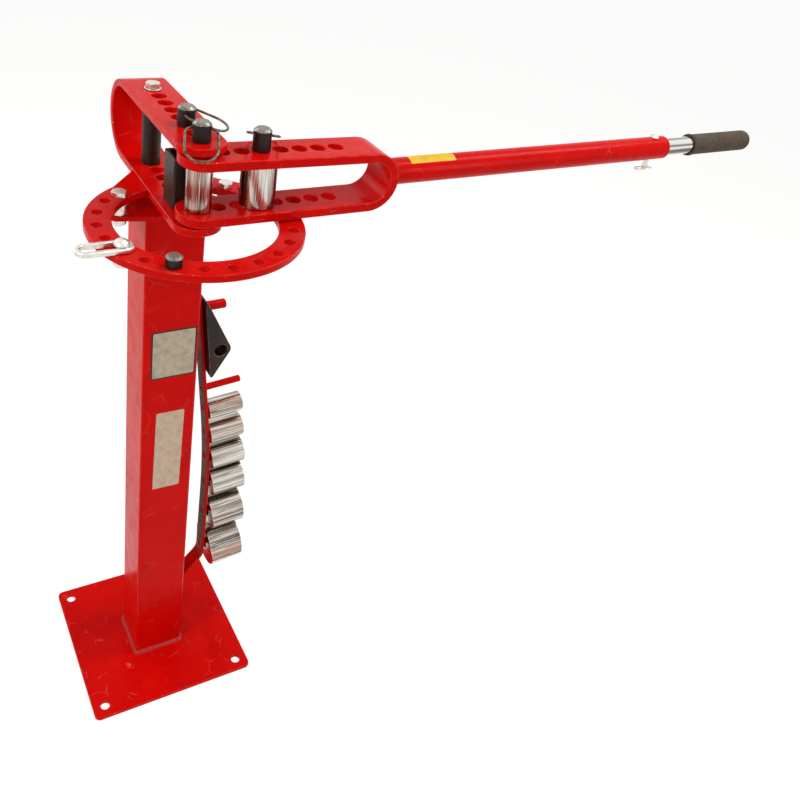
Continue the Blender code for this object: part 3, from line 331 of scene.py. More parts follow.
def cut(mesh, tool, spot=Matrix(), operation="DIFFERENCE"):
    """The mesh with a tool's shape taken out of it, joined on to it or kept of it."""
    tool_mesh = mesh_of(tool)
    tool_mesh.transform(spot)
    work, cutter = linked("work", mesh), linked("cutter", tool_mesh)
    step = work.modifiers.new("cut", "BOOLEAN")
    step.operation = operation
    step.object = cutter
    result = evaluated(work)
    for made in (work, cutter):
        bpy.data.objects.remove(made)
    result.shade_smooth()
    result.set_sharp_from_angle(angle=math.radians(35))
    return result


def wire(points, diameter):
    """Round wire along 3D points."""
    curve = bpy.data.curves.new("wire", "CURVE")
    curve.dimensions = "3D"
    curve.bevel_depth = diameter / 2
    curve.bevel_resolution = 5
    curve.use_fill_caps = True
    spline = curve.splines.new("POLY")
    spline.points.add(len(points) - 1)
    for point, spot in zip(spline.points, points):
        point.co = (*spot, 1)
    holder = linked("holder", curve)
    made = bmesh.new()
    made.from_mesh(evaluated(holder))
    bpy.data.objects.remove(holder)
    bmesh.ops.remove_doubles(made, verts=made.verts, dist=GAP / 30)
    return mesh_of(made, 50)


def place(name, mesh, finish, body="stand", spot=Matrix(), nodes=None):
    """Puts a piece where the part has it, to move with its body in place of its solid.

    A finish is a material and the name of a slot, which is None for a label; the slot is not used.
    """
    mesh = mesh_of(mesh) if isinstance(mesh, bmesh.types.BMesh) else mesh
    piece = linked(name + "_made", mesh)
    piece.matrix_world = spot
    material, slot = finish
    mesh.materials.clear()
    mesh.materials.append(material)
    shading = piece.modifiers.new("shading", "WEIGHTED_NORMAL")
    shading.keep_sharp = True
    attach(piece, body)
    if nodes is None:
        nodes = (name,)
    if nodes:
        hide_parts(*nodes)


def at(x, y=0, z=0):
    return Matrix.Translation((x, y, z))


def about(axis, angle):
    return Matrix.Rotation(angle, 4, axis)


# Materials

def colour(written):
    """An sRGB hex value as the linear colour that it stands for."""
    parts = [int(written[i:i + 2], 16) / 255 for i in (1, 3, 5)]
    return (*[p / 12.92 if p <= 0.04045 else ((p + 0.055) / 1.055) ** 2.4 for p in parts], 1)


def add(tree, kind, feeds=(), **settings):
    """Adds one node. Feeds are values, hex colours or the sockets that they come from."""
    made = tree.nodes.new("ShaderNode" + kind)
    for name, value in settings.items():
        setattr(made, name, value)
    for name, value in dict(feeds).items():
        if isinstance(value, bpy.types.NodeSocket):
            tree.links.new(value, made.inputs[name])
        else:
            made.inputs[name].default_value = colour(value) if isinstance(value, str) else value
    return made


class Finish:
    """A material with its shader, its position in millimetres and what is laid over it."""

    def __init__(self, name, base, roughness, metallic=0.0, specular=0.5):
        self.material = bpy.data.materials.new(name)
        self.material.use_nodes = True
        self.tree = self.material.node_tree
        self.shader = self.tree.nodes["Principled BSDF"]
        self.shader.inputs["Specular IOR Level"].default_value = specular
        self.shader.inputs["Metallic"].default_value = metallic
        self.shader.inputs["Roughness"].default_value = roughness
        spot = add(self.tree, "TexCoord").outputs["Object"]
        self.mm = add(self.tree, "VectorMath", {0: spot, "Scale": 1 / MM},
                      operation="SCALE").outputs[0]
        self.shade = base

    def node(self, kind, *feeds, **settings):
        """The first output of one more node, whose feeds come in its sockets' order."""
        return add(self.tree, kind, dict(enumerate(feeds)), **settings).outputs[0]

    def cells(self, size, stretch=(1, 1, 1), shift=0.0):
        """The position counted in cells of size millimetres, stretched along the axes."""
        return add(self.tree, "Mapping", {"Vector": self.mm, "Location": (shift,) * 3,
                                          "Scale": [1 / (size * s) for s in stretch]}).outputs[0]

    def grain(self, size, stretch=(1, 1, 1), detail=3.0, shift=0.0):
        """Cloudy variation whose patches are about size millimetres wide."""
        return add(self.tree, "TexNoise", {"Vector": self.cells(size, stretch, shift),
                                           "Scale": 1.0, "Detail": detail}).outputs[0]

    def patches(self, size, low, high, least=0.0, most=1.0, **shape):
        """The grain's range from low to high, spread over least to most."""
        return self.node("MapRange", self.grain(size, **shape), low, high, least, most)

    def product(self, first, *others):
        for other in others:
            first = self.node("Math", first, other, operation="MULTIPLY")
        return first

    def over(self, shade, *shares):
        """Lays a colour over the one so far, by shares that vary over the surface."""
        mixed = add(self.tree, "Mix", {0: self.product(*shares), 6: self.shade, 7: shade},
                    data_type="RGBA")
        self.shade = mixed.outputs[2]

    def edge(self):
        """How far a point lies on a rounded edge."""
        return add(self.tree, "Attribute", attribute_name="edge").outputs["Fac"]

    def facing(self, axis):
        """How squarely the surface faces along an axis of the part."""
        normal = add(self.tree, "NewGeometry").outputs["Normal"]
        return add(self.tree, "SeparateXYZ", {0: normal}).outputs[axis]

    def scratches(self, size, width):
        """Short fine lines, from the borders of large cells, of which only pieces are left."""
        lines = add(self.tree, "TexVoronoi", {"Vector": self.cells(size), "Scale": 1.0},
                    feature="DISTANCE_TO_EDGE").outputs[0]
        return self.product(self.node("MapRange", lines, 0, width / size, 1, 0),
                            self.patches(size * 0.8, 0.55, 0.62, shift=3))

    def bump(self, height, depth, strength):
        """Raises the surface by up to a depth in millimetres."""
        feeds = {"Height": height, "Distance": depth * MM, "Strength": strength}
        self.drive("Normal", add(self.tree, "Bump", feeds).outputs[0])

    def drive(self, name, value):
        self.tree.links.new(value, self.shader.inputs[name])

    def done(self):
        self.drive("Base Color", self.shade)
        return self.material


def enamel_coat(name):
    """Gloss enamel sprayed on steel: a deep even red, slightly cloudy where the coat is thin,
    with the fine ripple of a sprayed coat, small pale scratches, and painted highlights along the
    rounded edges."""
    coat = Finish(name, "#DC0A06", 0.26, specular=0.06)
    coat.over("#C80503", coat.patches(70, 0.42, 0.68, 0, 0.6, detail=2))
    coat.over("#E8140A", coat.patches(45, 0.55, 0.75, 0, 0.5, detail=2, shift=20))
    # Painted highlight: pale red along the rounded edges
    coat.over("#F0584A", coat.edge(), coat.patches(9, 0.42, 0.7, 0.1, 0.6))
    # Sprayed enamel ripples at 2 to 3 mm
    coat.bump(coat.grain(2.6, detail=1), 0.05, 0.35)
    return coat


def sprayed_red_enamel():
    coat = enamel_coat("sprayed_red_enamel")
    # Painted glints: small pinkish white spots on the rounded edges
    coat.over("#F3D8CF", coat.edge(), coat.patches(3.2, 0.69, 0.72, detail=2, shift=7))
    coat.over("#E9A79C", coat.scratches(34, 0.35), 0.3)
    coat.drive("Roughness", coat.patches(25, 0.35, 0.7, 0.2, 0.34, shift=5))
    return coat.done()


def shaded_red_enamel():
    """The same enamel with a painted shade, dark brown and duller, on the rack bar's inner face,
    which faces the post.
    """
    coat = enamel_coat("shaded_red_enamel")
    height = add(coat.tree, "SeparateXYZ", {0: coat.mm}).outputs[2]
    # Painted shade: dark brown over the face that looks at the post, fading out above 600 mm and
    # below 210 mm
    inner_shade = coat.product(coat.node("MapRange", coat.facing(0), -0.6, -0.9),
                        coat.node("MapRange", height, *SHADE_END),
                        coat.node("MapRange", height, *SHADE_START),
                        coat.patches(30, 0.25, 0.6, 0.78, 1))
    coat.over("#5B3A1E", inner_shade)
    coat.over("#3A2413", inner_shade, coat.patches(14, 0.5, 0.75, shift=11))
    coat.drive("Roughness", coat.node("MapRange", inner_shade, 0, 1, 0.26, 0.5))
    return coat.done()


def enamelled_weld_bead():
    """Welded bead under the same enamel: the coat lies thin and pale on its crests."""
    coat = Finish("enamelled_weld_bead", "#B80A0A", 0.3, specular=0.35)
    coat.over("#DC2A1E", coat.patches(2.5, 0.5, 0.7, 0, 0.7))
    coat.bump(coat.grain(1.2), 0.15, 0.5)
    return coat.done()


def oxide_blackened_steel():
    """Steel blackened by hot oxide: brown black with a low oily gloss, rubbed through to grey
    metal on the top face and its chamfer, where hands and hammers meet it."""
    skin = Finish("oxide_blackened_steel", "#140C09", 0.38, specular=0.3)
    skin.over("#2A1A13", skin.patches(7, 0.45, 0.7, 0, 0.8))
    rub = skin.product(skin.node("MapRange", skin.facing(2), 0.45, 0.75),
                       skin.patches(4, 0.3, 0.55, 0.45, 1, detail=4))
    arris = skin.product(skin.edge(), skin.patches(5, 0.4, 0.6, 0.25, 0.9, shift=9))
    bare = skin.node("Math", rub, arris, operation="MAXIMUM")
    skin.over("#8F887F", bare)
    skin.over("#B9B3A9", bare, skin.patches(2.2, 0.52, 0.7, shift=4))
    skin.drive("Metallic", skin.node("MapRange", bare, 0, 1, 0, 0.9))
    skin.drive("Roughness", skin.patches(3, 0.3, 0.7, 0.3, 0.46))
    skin.bump(skin.grain(1.4), 0.05, 0.4)
    return skin.done()


def brushed_black_paint():
    """Thin black paint over hot-rolled steel: brownish where it is rubbed, paler at its rims."""
    paint = Finish("brushed_black_paint", "#1A100A", 0.42, specular=0.3)
    paint.over("#3C2618", paint.patches(18, 0.42, 0.72, 0, 0.9, stretch=(1, 1, 3)))
    paint.over("#A08468", paint.edge(), paint.patches(5, 0.4, 0.62, 0.1, 0.85))
    paint.drive("Roughness", paint.patches(6, 0.3, 0.7, 0.34, 0.52))
    paint.bump(paint.grain(2), 0.06, 0.4)
    return paint.done()


def bright_zinc_plate():
    """Bright zinc plate on rolled steel: nearly white, softly mottled, a little warm."""
    plate = Finish("bright_zinc_plate", "#E4E1D9", 0.3, 1.0)
    plate.over("#B9B3A6", plate.patches(6, 0.45, 0.7, 0, 0.7))
    plate.over("#F6F4EE", plate.edge(), 0.6)
    plate.drive("Roughness", plate.patches(4, 0.3, 0.7, 0.24, 0.42, shift=2))
    plate.bump(plate.grain(1.6), 0.04, 0.35)
    return plate.done()


def drawn_steel_wire():
    """Drawn spring wire, left bare and handled: grey brown with a dull shine."""
    strand = Finish("drawn_steel_wire", "#7C6F63", 0.36, 0.85)
    strand.over("#3B3028", strand.patches(5, 0.42, 0.66, 0, 0.9))
    strand.over("#A39A8C", strand.patches(3, 0.6, 0.74, 0, 0.7, shift=8))
    strand.drive("Roughness", strand.patches(2, 0.3, 0.7, 0.3, 0.5))
    strand.bump(strand.grain(0.8), 0.03, 0.3)
    return strand.done()


def polished_steel_bar():
    """Steel bar turned and polished: a clear shine, with painted reflections in streaks along its
    length, dark, brown and bright, and a painted highlight on its rounded edges."""
    bar = Finish("polished_steel_bar", "#D8D3CA", 0.16, 1.0)
    wall = (1, 1, 40)
    fine = bar.grain(1.6, wall, 2, 5)
    # Painted reflections: the streaks below, dark, brown and bright, run along the bar
    bar.over("#8E8073", bar.patches(9, 0.4, 0.56, 0, 0.85, stretch=wall, detail=2))
    bar.over("#4B423A", bar.patches(13, 0.52, 0.62, 0, 0.85, stretch=wall, detail=1, shift=30))
    bar.over("#A87B66", bar.patches(15, 0.55, 0.68, 0, 0.55, stretch=wall, detail=1, shift=60))
    bar.over("#F2EEE6", bar.node("MapRange", fine, 0.56, 0.66, 0, 0.8))
    bar.over("#3E362F", bar.patches(1.1, 0.64, 0.7, 0, 0.6, stretch=wall, detail=1, shift=12))
    # Painted highlight on the rounded edges
    bar.over("#F4F1EA", bar.edge(), 0.75)
    bar.drive("Roughness", bar.node("MapRange", fine, 0.35, 0.65, 0.12, 0.26))
    bar.bump(fine, 0.03, 0.25)
    return bar.done()


def chromed_steel_tube():
    """Chromed steel tube: a hard clean mirror with faint polishing lines, and painted reflections in
    grey streaks along it.
    """
    tube = Finish("chromed_steel_tube", "#E9E8E4", 0.1, 1.0)
    wall = (1, 1, 60)
    # Painted reflections: grey streaks along the tube
    tube.over("#8D8880", tube.patches(8, 0.48, 0.6, 0, 0.9, stretch=wall, detail=1))
    tube.over("#4F4A44", tube.patches(10, 0.56, 0.64, 0, 0.8, stretch=wall, detail=1, shift=14))
    tube.drive("Roughness", tube.patches(3, 0.3, 0.7, 0.07, 0.16, stretch=wall))
    tube.bump(tube.grain(1.5, wall), 0.02, 0.2)
    return tube.done()


def moulded_rubber():
    """Moulded rubber sleeve: matt dark olive brown with a sanded grain, paler where hands
    polish it. The real grain of about 0.3 mm is drawn at 1.4 mm, so that it shows."""
    sleeve = Finish("moulded_rubber", "#4A3E33", 0.78, specular=0.3)
    sleeve.over("#6F6252", sleeve.patches(1.4, 0.5, 0.66, 0, 0.8, detail=2))
    sleeve.over("#2B231B", sleeve.patches(1.7, 0.56, 0.7, detail=2, shift=6))
    sleeve.over("#5E5447", sleeve.patches(22, 0.5, 0.7, 0, 0.5))
    sleeve.drive("Roughness", sleeve.patches(6, 0.3, 0.7, 0.66, 0.88))
    sleeve.bump(sleeve.grain(1.4, detail=2), 0.16, 0.6)
    return sleeve.done()


def printed_stock(name, base, stain, roughness, metallic=0.0):
    """Thin stock stuck to the paint, its print left bare: clouded by handling."""
    stock = Finish(name, base, roughness, metallic, specular=0.3)
    stock.over(stain, stock.patches(11, 0.42, 0.72, 0, 0.6))
    stock.over(stain, stock.patches(2.2, 0.5, 0.72, 0, 0.4, detail=4, shift=4))
    stock.drive("Roughness", stock.patches(5, 0.3, 0.7, roughness, roughness + 0.15))
    stock.bump(stock.grain(3), 0.04, 0.3)
    return stock.done(), None


# Each finish with the name of a slot
RED = sprayed_red_enamel(), "red_enamel"
RED_SHADED = shaded_red_enamel(), "red_enamel"
RED_WELD = enamelled_weld_bead(), "red_enamel"
BLACKENED = oxide_blackened_steel(), "black_oxide"
BLACK_PAINT = brushed_black_paint(), "black_paint"
ZINC = bright_zinc_plate(), "zinc_plate"
WIRE = drawn_steel_wire(), "dark_wire"
PALE_WIRE = WIRE[0], "zinc_plate"
BRIGHT = polished_steel_bar(), "polished_steel"
CHROME = chromed_steel_tube(), "chrome"
RUBBER = moulded_rubber(), "rubber"


# Base, post and top plate

def make_base():
    reach = BASE_SIDE / 2 - BASE_HOLE_INSET
    holes = [circle(x, y, BASE_HOLE_D) for x in (-reach, reach) for y in (-reach, reach)]
    plate = flat_piece([rounded_square(BASE_SIDE, BASE_CORNER_R)] + holes, BASE_THICK,
                       1.0 * MM, 0.6 * MM)
    place("base_plate", plate, RED, spot=at(0, 0, BASE_THICK / 2))
    outer = rounded_square(POST_SIDE, POST_CORNER_R)
    inner = rounded_square(POST_SIDE - 2 * POST_WALL, POST_CORNER_R - POST_WALL)
    post = flat_piece([outer, inner], POST_LENGTH, 0.6 * MM)
    place("post", post, RED, spot=at(0, 0, Z_POST_FOOT + POST_LENGTH / 2))


def make_weld_bead():
    """A fillet whose face is ribbed by the torch, carried round the foot of the post."""
    path = rounded_square(POST_SIDE + 2 * GAP, POST_CORNER_R + GAP, 12)
    stations, station, ripple, sway = [], 0.7 * MM, 2.8 * MM, 9 * MM
    for i, a in enumerate(path):
        b = path[(i + 1) % len(path)]
        run = (Vector(b) - Vector(a)).length
        count = max(1, round(run / station))
        stations += [tuple(Vector(a).lerp(Vector(b), k / count)) for k in range(count)]
    made = bmesh.new()
    rings, travelled = [], 0.0
    ribs = 8
    for i, here in enumerate(stations):
        before, after = Vector(stations[i - 1]), Vector(stations[(i + 1) % len(stations)])
        travelled += (Vector(here) - before).length if i else 0
        along = (after - before).normalized()
        out = Vector((along.y, -along.x))
        leg = BASE_WELD_LEG * (0.9 + 0.05 * math.sin(travelled / sway))
        ring = [(0, 0)]
        for k in range(ribs + 1):
            share = k / ribs
            lag = 1.6 * math.sin(math.pi * share)
            swell = leg * math.sin(math.pi * share) * (
                0.1 + 0.045 * math.sin(TURN * travelled / ripple + lag))
            ring.append((leg * (1 - share) + swell, leg * share + swell))
        rings.append([made.verts.new((here[0] + out.x * u, here[1] + out.y * u,
                                      Z_POST_FOOT + v)) for u, v in ring])
    for ring, following in zip(rings, rings[1:] + rings[:1]):
        for k in range(len(ring)):
            j = (k + 1) % len(ring)
            made.faces.new((ring[k], ring[j], following[j], following[k]))
    place("base_weld", mesh_of(made, 70), RED_WELD)


def ring_point(radius, angle):
    return Vector((radius * math.cos(angle), radius * math.sin(angle) - PIVOT_OFFSET, 0))


def hole_angle(index):
    return math.pi * 1.5 + (index - (RING_HOLES - 1) / 2) * RING_HOLE_STEP


def ring_bolt_places():
    radius = RING_HOLE_CIRCLE_R - RING_BOLT_STEP_IN
    return {"right": ring_point(radius, RING_BOLT_ANGLE),
            "left": ring_point(radius, math.pi - RING_BOLT_ANGLE)}


def make_top_plate():
    wing = ring_bolt_places()["right"]
    front = -POST_SIDE / 2 - TOP_PLATE_FRONT_LIP
    rear = POST_SIDE / 2 + TOP_PLATE_REAR_LIP
    spread = math.asin((wing.x - TOP_PLATE_WING_R / 2) / TOP_PLATE_FRONT_R)
    bow = arc(0, front + TOP_PLATE_FRONT_R, TOP_PLATE_FRONT_R, -QUARTER - spread,
              -QUARTER + spread, 32)
    right = arc(wing.x, wing.y, TOP_PLATE_WING_R, math.radians(-60), math.radians(75), 24)
    left = [(-x, y) for x, y in reversed(right)]
    back = [(POST_SIDE / 2, rear), (-POST_SIDE / 2, rear)]
    holes = [circle(spot.x, spot.y, BOLT_BORE) for spot in ring_bolt_places().values()]
    plate = flat_piece([bow + right + back + left] + holes, TOP_PLATE_THICK, 0.8 * MM)
    place("post_top_plate", plate, RED,
          spot=at(0, 0, Z_TOP_PLATE + TOP_PLATE_THICK / 2))


def make_degree_ring():
    inner_r = RING_HOLE_CIRCLE_R - RING_INNER_LAND
    outer_r = RING_HOLE_CIRCLE_R + RING_OUTER_LAND
    edge = BAR_WIDTH / 2 + GAP
    mouth = math.acos(edge / inner_r)
    outline = arc(0, 0, inner_r, mouth, -math.pi - mouth, 120) + [(-edge, RING_TAIL_REACH)]
    outline += arc(0, 0, outer_r, -math.pi - RING_TAIL_ANGLE, RING_TAIL_ANGLE, 120)
    outline += [(edge, RING_TAIL_REACH)]
    spots = [ring_point(RING_HOLE_CIRCLE_R, hole_angle(i)) for i in range(RING_HOLES)]
    holes = [circle(spot.x, spot.y + PIVOT_OFFSET, RING_HOLE_D) for spot in spots]
    holes += [circle(spot.x, spot.y + PIVOT_OFFSET, BOLT_BORE)
              for spot in ring_bolt_places().values()]
    ring = flat_piece([outline] + holes, RING_THICK, 1.2 * MM, 0.9 * MM)
    place("degree_ring", ring, RED,
          spot=at(0, -PIVOT_OFFSET, Z_RING + RING_THICK / 2))


# Bolts, nuts, washers and spacers

def hexagon(height, chamfers):
    """A hexagon of the bolts' size standing on z = 0, with its corners turned off."""
    flats = BOLT_ACROSS_FLATS / 2
    corner = flats / math.cos(math.pi / 6)
    block = flat_piece([circle(0, 0, 2 * corner, 6)], height, 0.25 * MM, steps=2)
    face_r, reach, top = HEX_FACE_SHARE * flats, corner + GAP, height / 2 + GAP / 10
    blunt = (reach - face_r) * math.tan(math.radians(30))
    profile = [(0, top, 0), (face_r, top, 0), (reach, height / 2 - blunt, 0)]
    if chamfers == 2:
        profile += [(reach, blunt - height / 2, 0), (face_r, -top, 0)]
    else:
        profile += [(reach, -height / 2 - blunt, 0)]
    profile += [(0, profile[-1][1], 0)]
    mesh = cut(mesh_of(block), turned(profile, 72), operation="INTERSECT")
    mesh.transform(at(0, 0, height / 2))
    return mesh


def threaded(radius, start, end):
    """Profile points of a screw thread from one height down to another."""
    points, z = [], start
    while z - THREAD_PITCH > end:
        points += [(radius, z, 0), (radius - THREAD_DEPTH, z - THREAD_PITCH / 2, 0)]
        z -= THREAD_PITCH
    return points + [(radius - THREAD_DEPTH / 2, end, 0)]


def make_bolt(name, spot, z_seat, shank):
    radius = BOLT_D / 2
    body = [(0, BOLT_HEAD / 2, 0), (radius, BOLT_HEAD / 2, 0)]
    body += threaded(radius, -shank + NUT_HEIGHT + 4 * BOLT_TAIL, -shank)
    body += [(0, -shank, 0)]
    mesh = cut(hexagon(BOLT_HEAD, 1), turned(body, 40), operation="UNION")
    place(name, mesh, ZINC, spot=at(spot.x, spot.y, z_seat + GAP))


def make_nut(name, spot, z_seat):
    mesh = cut(hexagon(NUT_HEIGHT, 2), rod(BOLT_BORE, NUT_HEIGHT * 3),
               at(0, 0, NUT_HEIGHT / 2))
    place(name, mesh, ZINC, spot=at(spot.x, spot.y, z_seat - GAP - NUT_HEIGHT))


def collar(diameter, bore, height, edge=0.4 * MM):
    """A bored round piece that stands on z = 0."""
    outer, inner = diameter / 2, bore / 2
    return turned([(outer, height, edge), (outer, 0, edge), (inner, 0, edge / 2),
                   (inner, height, edge / 2)], 64, bored=True)


def make_ring_bolts():
    shank = Z_RING_TOP - Z_TOP_PLATE + NUT_HEIGHT + BOLT_TAIL
    for side, spot in ring_bolt_places().items():
        make_bolt("ring_bolt_" + side, spot, Z_RING_TOP, shank)
        place("ring_spacer_" + side, collar(RING_SPACER_D, BOLT_BORE, RING_LIFT - 2 * GAP), ZINC,
              spot=at(spot.x, spot.y, Z_RING - RING_LIFT + GAP))
        make_nut("ring_nut_" + side, spot, Z_TOP_PLATE)


# The two U-shaped bars

def u_bar(thick, inner_gap, reach, drop, edge):
    """A flat bar, drilled and then bent to a U. Its upper leg comes down by the drop."""
    outer_r = (inner_gap + 2 * thick - drop) / 2
    bend = reach - outer_r
    lean = math.atan2(drop, bend)
    middle_r = outer_r - thick / 2
    nose, half = BAR_NOSE, BAR_WIDTH / 2
    curve = arc(bend, outer_r, middle_r, -QUARTER, QUARTER - lean, 48)
    back = (bend + middle_r * math.sin(lean)) / math.cos(lean) + nose
    tip = (curve[-1][0] - back * math.cos(lean), curve[-1][1] + back * math.sin(lean))
    path = [(-nose, thick / 2)] + curve + [tip]
    total = length_of(path)
    outline = [(nose + (x - nose) * nose / half, y)
               for x, y in arc(nose, 0, half, QUARTER, 3 * QUARTER, 40)]
    outline += [(total - x, -y) for x, y in outline]
    holes = []
    for station in range(BAR_HOLES):
        holes.append(circle(nose + station * PITCH, 0, BAR_HOLE_D))
        holes.append(circle(total - nose - station * PITCH / math.cos(lean), 0, BAR_HOLE_D))
    return bent(flat_piece([outline] + holes, thick, edge, 1.0 * MM), path)


def frame_station(station):
    return PIVOT + Vector((0, station * PITCH, 0))


def make_frame():
    bar = u_bar(FRAME_THICK, FRAME_INNER_GAP, FRAME_REACH, 0, 1.6 * MM)
    place("frame_arm", bar, RED,
          spot=at(0, -PIVOT_OFFSET, Z_FRAME) @ about("Z", QUARTER))
    spot = frame_station(7)
    z_low = Z_FRAME - GAP - FRAME_WASHER_THICK
    for name, z in (("frame_washer_top", Z_FRAME_TOP + GAP), ("frame_washer_bottom", z_low)):
        place(name, collar(FRAME_WASHER_D, BOLT_BORE, FRAME_WASHER_THICK), ZINC,
              spot=at(spot.x, spot.y, z))
    z_head = Z_FRAME_TOP + GAP + FRAME_WASHER_THICK
    make_bolt("frame_bolt", spot, z_head, z_head - z_low + NUT_HEIGHT + BOLT_TAIL)
    make_nut("frame_nut", spot, z_low)
    place("frame_spacer", collar(FRAME_SPACER_D, BOLT_BORE, FRAME_INNER_GAP - 2 * GAP), BLACK_PAINT,
          spot=at(spot.x, spot.y, Z_FRAME_SEAT + GAP))
    place("pivot_washer", collar(PIVOT_WASHER_D, BAR_HOLE_D, PIVOT_WASHER_THICK - 2 * GAP),
          BLACKENED, spot=at(0, -PIVOT_OFFSET, Z_FRAME_SEAT + GAP))
    block = flat_piece([rounded_square(REACTION_SIDE, REACTION_CORNER_R),
                        rounded_square(REACTION_SIDE - 2 * REACTION_WALL, REACTION_CORNER_R / 3)],
                       REACTION_HEIGHT, 0.8 * MM)
    place("reaction_block", block, BLACK_PAINT,
          spot=at(0, frame_station(2).y, Z_FRAME_SEAT + GAP + REACTION_HEIGHT / 2))


# Drive pins with their bails

def bail_wire():
    half = (BAIL_WIDTH - BAIL_WIRE_D) / 2
    far = BAIL_WIRE_D / 2 - BAIL_LENGTH
    side = rounded([(BAIL_END_GAP / 2, 0, 0), (half, 0, BAIL_BEND_R), (half, far + half, 0)],
                   closed=False, steps=12)
    bow = arc(0, far + half, half, 0, -math.pi, 48)
    other = [(-x, y) for x, y in reversed(side)]
    return wire([(x, y, 0) for x, y in side[:-1] + bow + other[1:]], BAIL_WIRE_D)


def make_drive_pin(name, spot, z_seat, z_low, head, bail_finish, angle, droop):
    """A headed pin and its bail, which points at an angle and droops from level, in degrees."""
    low, bail_at = z_low - z_seat - GAP, at(0, 0, head - BAIL_HOLE_DEPTH)
    head_r, shank_r, soft = PIN_HEAD_D / 2, PIN_D / 2, 0.7 * MM
    profile = [(0, head, 0), (head_r - PIN_CHAMFER, head, soft), (head_r, head - PIN_CHAMFER, soft),
               (head_r, 0, GAP), (shank_r, 0, GAP / 2), (shank_r, low + PIN_CHAMFER, soft),
               (shank_r - PIN_CHAMFER, low, soft), (0, low, 0)]
    mesh = cut(mesh_of(turned(profile)), rod(BAIL_HOLE_D, PIN_HEAD_D + OVERRUN),
               bail_at @ about("Y", QUARTER))
    stand, turn = at(spot.x, spot.y, z_seat + GAP), about("Z", math.radians(angle) + QUARTER)
    place(name, mesh, BLACKENED, name, stand @ turn)
    bail = name.replace("pin", "bail")
    place(bail, bail_wire(), bail_finish, bail,
          stand @ bail_at @ turn @ about("X", math.radians(droop)))


def make_pins():
    z_low = Z_FRAME - PIN_TAIL
    make_drive_pin("pivot_pin", PIVOT, Z_FRAME_TOP, z_low, PIN_HEAD, PALE_WIRE, -110, 26)
    make_drive_pin("frame_pin", frame_station(2), Z_FRAME_TOP, z_low, PIN_HEAD, WIRE, -29, 16)
    seat = Z_FORK_TOP - (FOLLOWER_X - PIN_HEAD_D / 2) * FORK_SLOPE
    make_drive_pin("follower_pin", PIVOT + Vector((FOLLOWER_X, 0, 0)), seat,
                   Z_FORK - FOLLOWER_PIN_TAIL, FOLLOWER_HEAD, WIRE, 60, 21)


def die(diameter):
    radius, bore, soft = diameter / 2, DIE_BORE / 2, 0.5 * MM
    return turned([(radius - DIE_CHAMFER, DIE_LENGTH, soft), (radius, DIE_LENGTH - DIE_CHAMFER, soft),
                   (radius, DIE_CHAMFER, soft), (radius - DIE_CHAMFER, 0, soft), (bore, 0, soft),
                   (bore, DIE_LENGTH, soft)], 96, bored=True)


# Stop pin and link

def make_stops():
    spot = ring_point(RING_HOLE_CIRCLE_R, hole_angle(STOP_HOLE))
    head, shank, low = STOP_HEAD_D / 2, STOP_SHANK_D / 2, -RING_THICK - STOP_TAIL
    soft = 0.6 * MM
    profile = [(0, STOP_HEAD, 0), (head - STOP_CHAMFER, STOP_HEAD, soft),
               (head, STOP_HEAD - STOP_CHAMFER, soft), (head, 0, GAP), (shank, 0, 0),
               (shank, low + STOP_CHAMFER / 2, 0), (shank - STOP_CHAMFER / 2, low, 0),
               (0, low, 0)]
    place("stop_pin", turned(profile), BLACKENED, "stop_pin",
          at(spot.x, spot.y, Z_RING_TOP + GAP))
    spot = ring_point(RING_HOLE_CIRCLE_R, hole_angle(LINK_HOLE))
    straight = LINK_LENGTH - LINK_WIDTH
    loops = [[(x + LINK_SLOT_PLAY, y) for x, y in arc(0, 0, radius, -QUARTER, QUARTER, 28)
              + arc(-straight, 0, radius, QUARTER, 3 * QUARTER, 28)]
             for radius in (LINK_WIDTH / 2, LINK_SLOT_WIDTH / 2)]
    z_link = Z_RING_TOP + GAP
    place("stop_link", flat_piece(loops, LINK_THICK, 1.7 * MM, 0.8 * MM), ZINC,
          "stop_link", at(spot.x, spot.y, z_link + LINK_THICK / 2))
    z_head = z_link + LINK_THICK + GAP
    head = LINK_BOLT_HEAD_D / 2
    low = Z_RING - z_head - 2 * GAP - LINK_NUT_HEIGHT
    profile = [(0, LINK_BOLT_HEAD, 0), (head / 2, LINK_BOLT_HEAD - 0.7 * MM, 4 * MM),
               (head * 0.86, LINK_BOLT_HEAD - 2.9 * MM, 2.5 * MM), (head, 1.3 * MM, 1.2 * MM),
               (head, 0, GAP), (shank, 0, 0), (shank, low, 0.8 * MM), (0, low, 0)]
    place("link_bolt", turned(profile, 64), ZINC, "link_bolt",
          at(spot.x, spot.y, z_head))
    place("link_collar", collar(LINK_NUT_D, 2 * (shank + GAP), LINK_NUT_HEIGHT, 0.8 * MM), ZINC,
          "link_bolt", at(spot.x, spot.y, Z_RING - GAP - LINK_NUT_HEIGHT))


# Fork, its dies and the handle

HANDLE_AXIS = at(FORK_BEND, -PIVOT_OFFSET, Z_FORK + FORK_BEND_R) @ about("Y", -HANDLE_RISE)


def make_fork():
    bar = u_bar(FORK_THICK, FORK_INNER_GAP, FORK_REACH, FORK_DROP, 1.8 * MM)
    place("fork_arm", bar, RED, "swing_arm", at(0, -PIVOT_OFFSET, Z_FORK))
    z_die = Z_FORK_SEAT + GAP
    place("centre_die", die(CENTRE_DIE_D), BRIGHT, "centre_die",
          at(0, -PIVOT_OFFSET, z_die))
    place("follower_die", die(FOLLOWER_DIE_D), BRIGHT, "follower_die",
          at(FOLLOWER_X, -PIVOT_OFFSET, z_die))


def tube(diameter, wall, start, end, edge):
    outer, inner = diameter / 2, diameter / 2 - wall
    return turned([(outer, end, edge), (outer, start, edge), (inner, start, edge),
                   (inner, end, edge)], 96, bored=True)


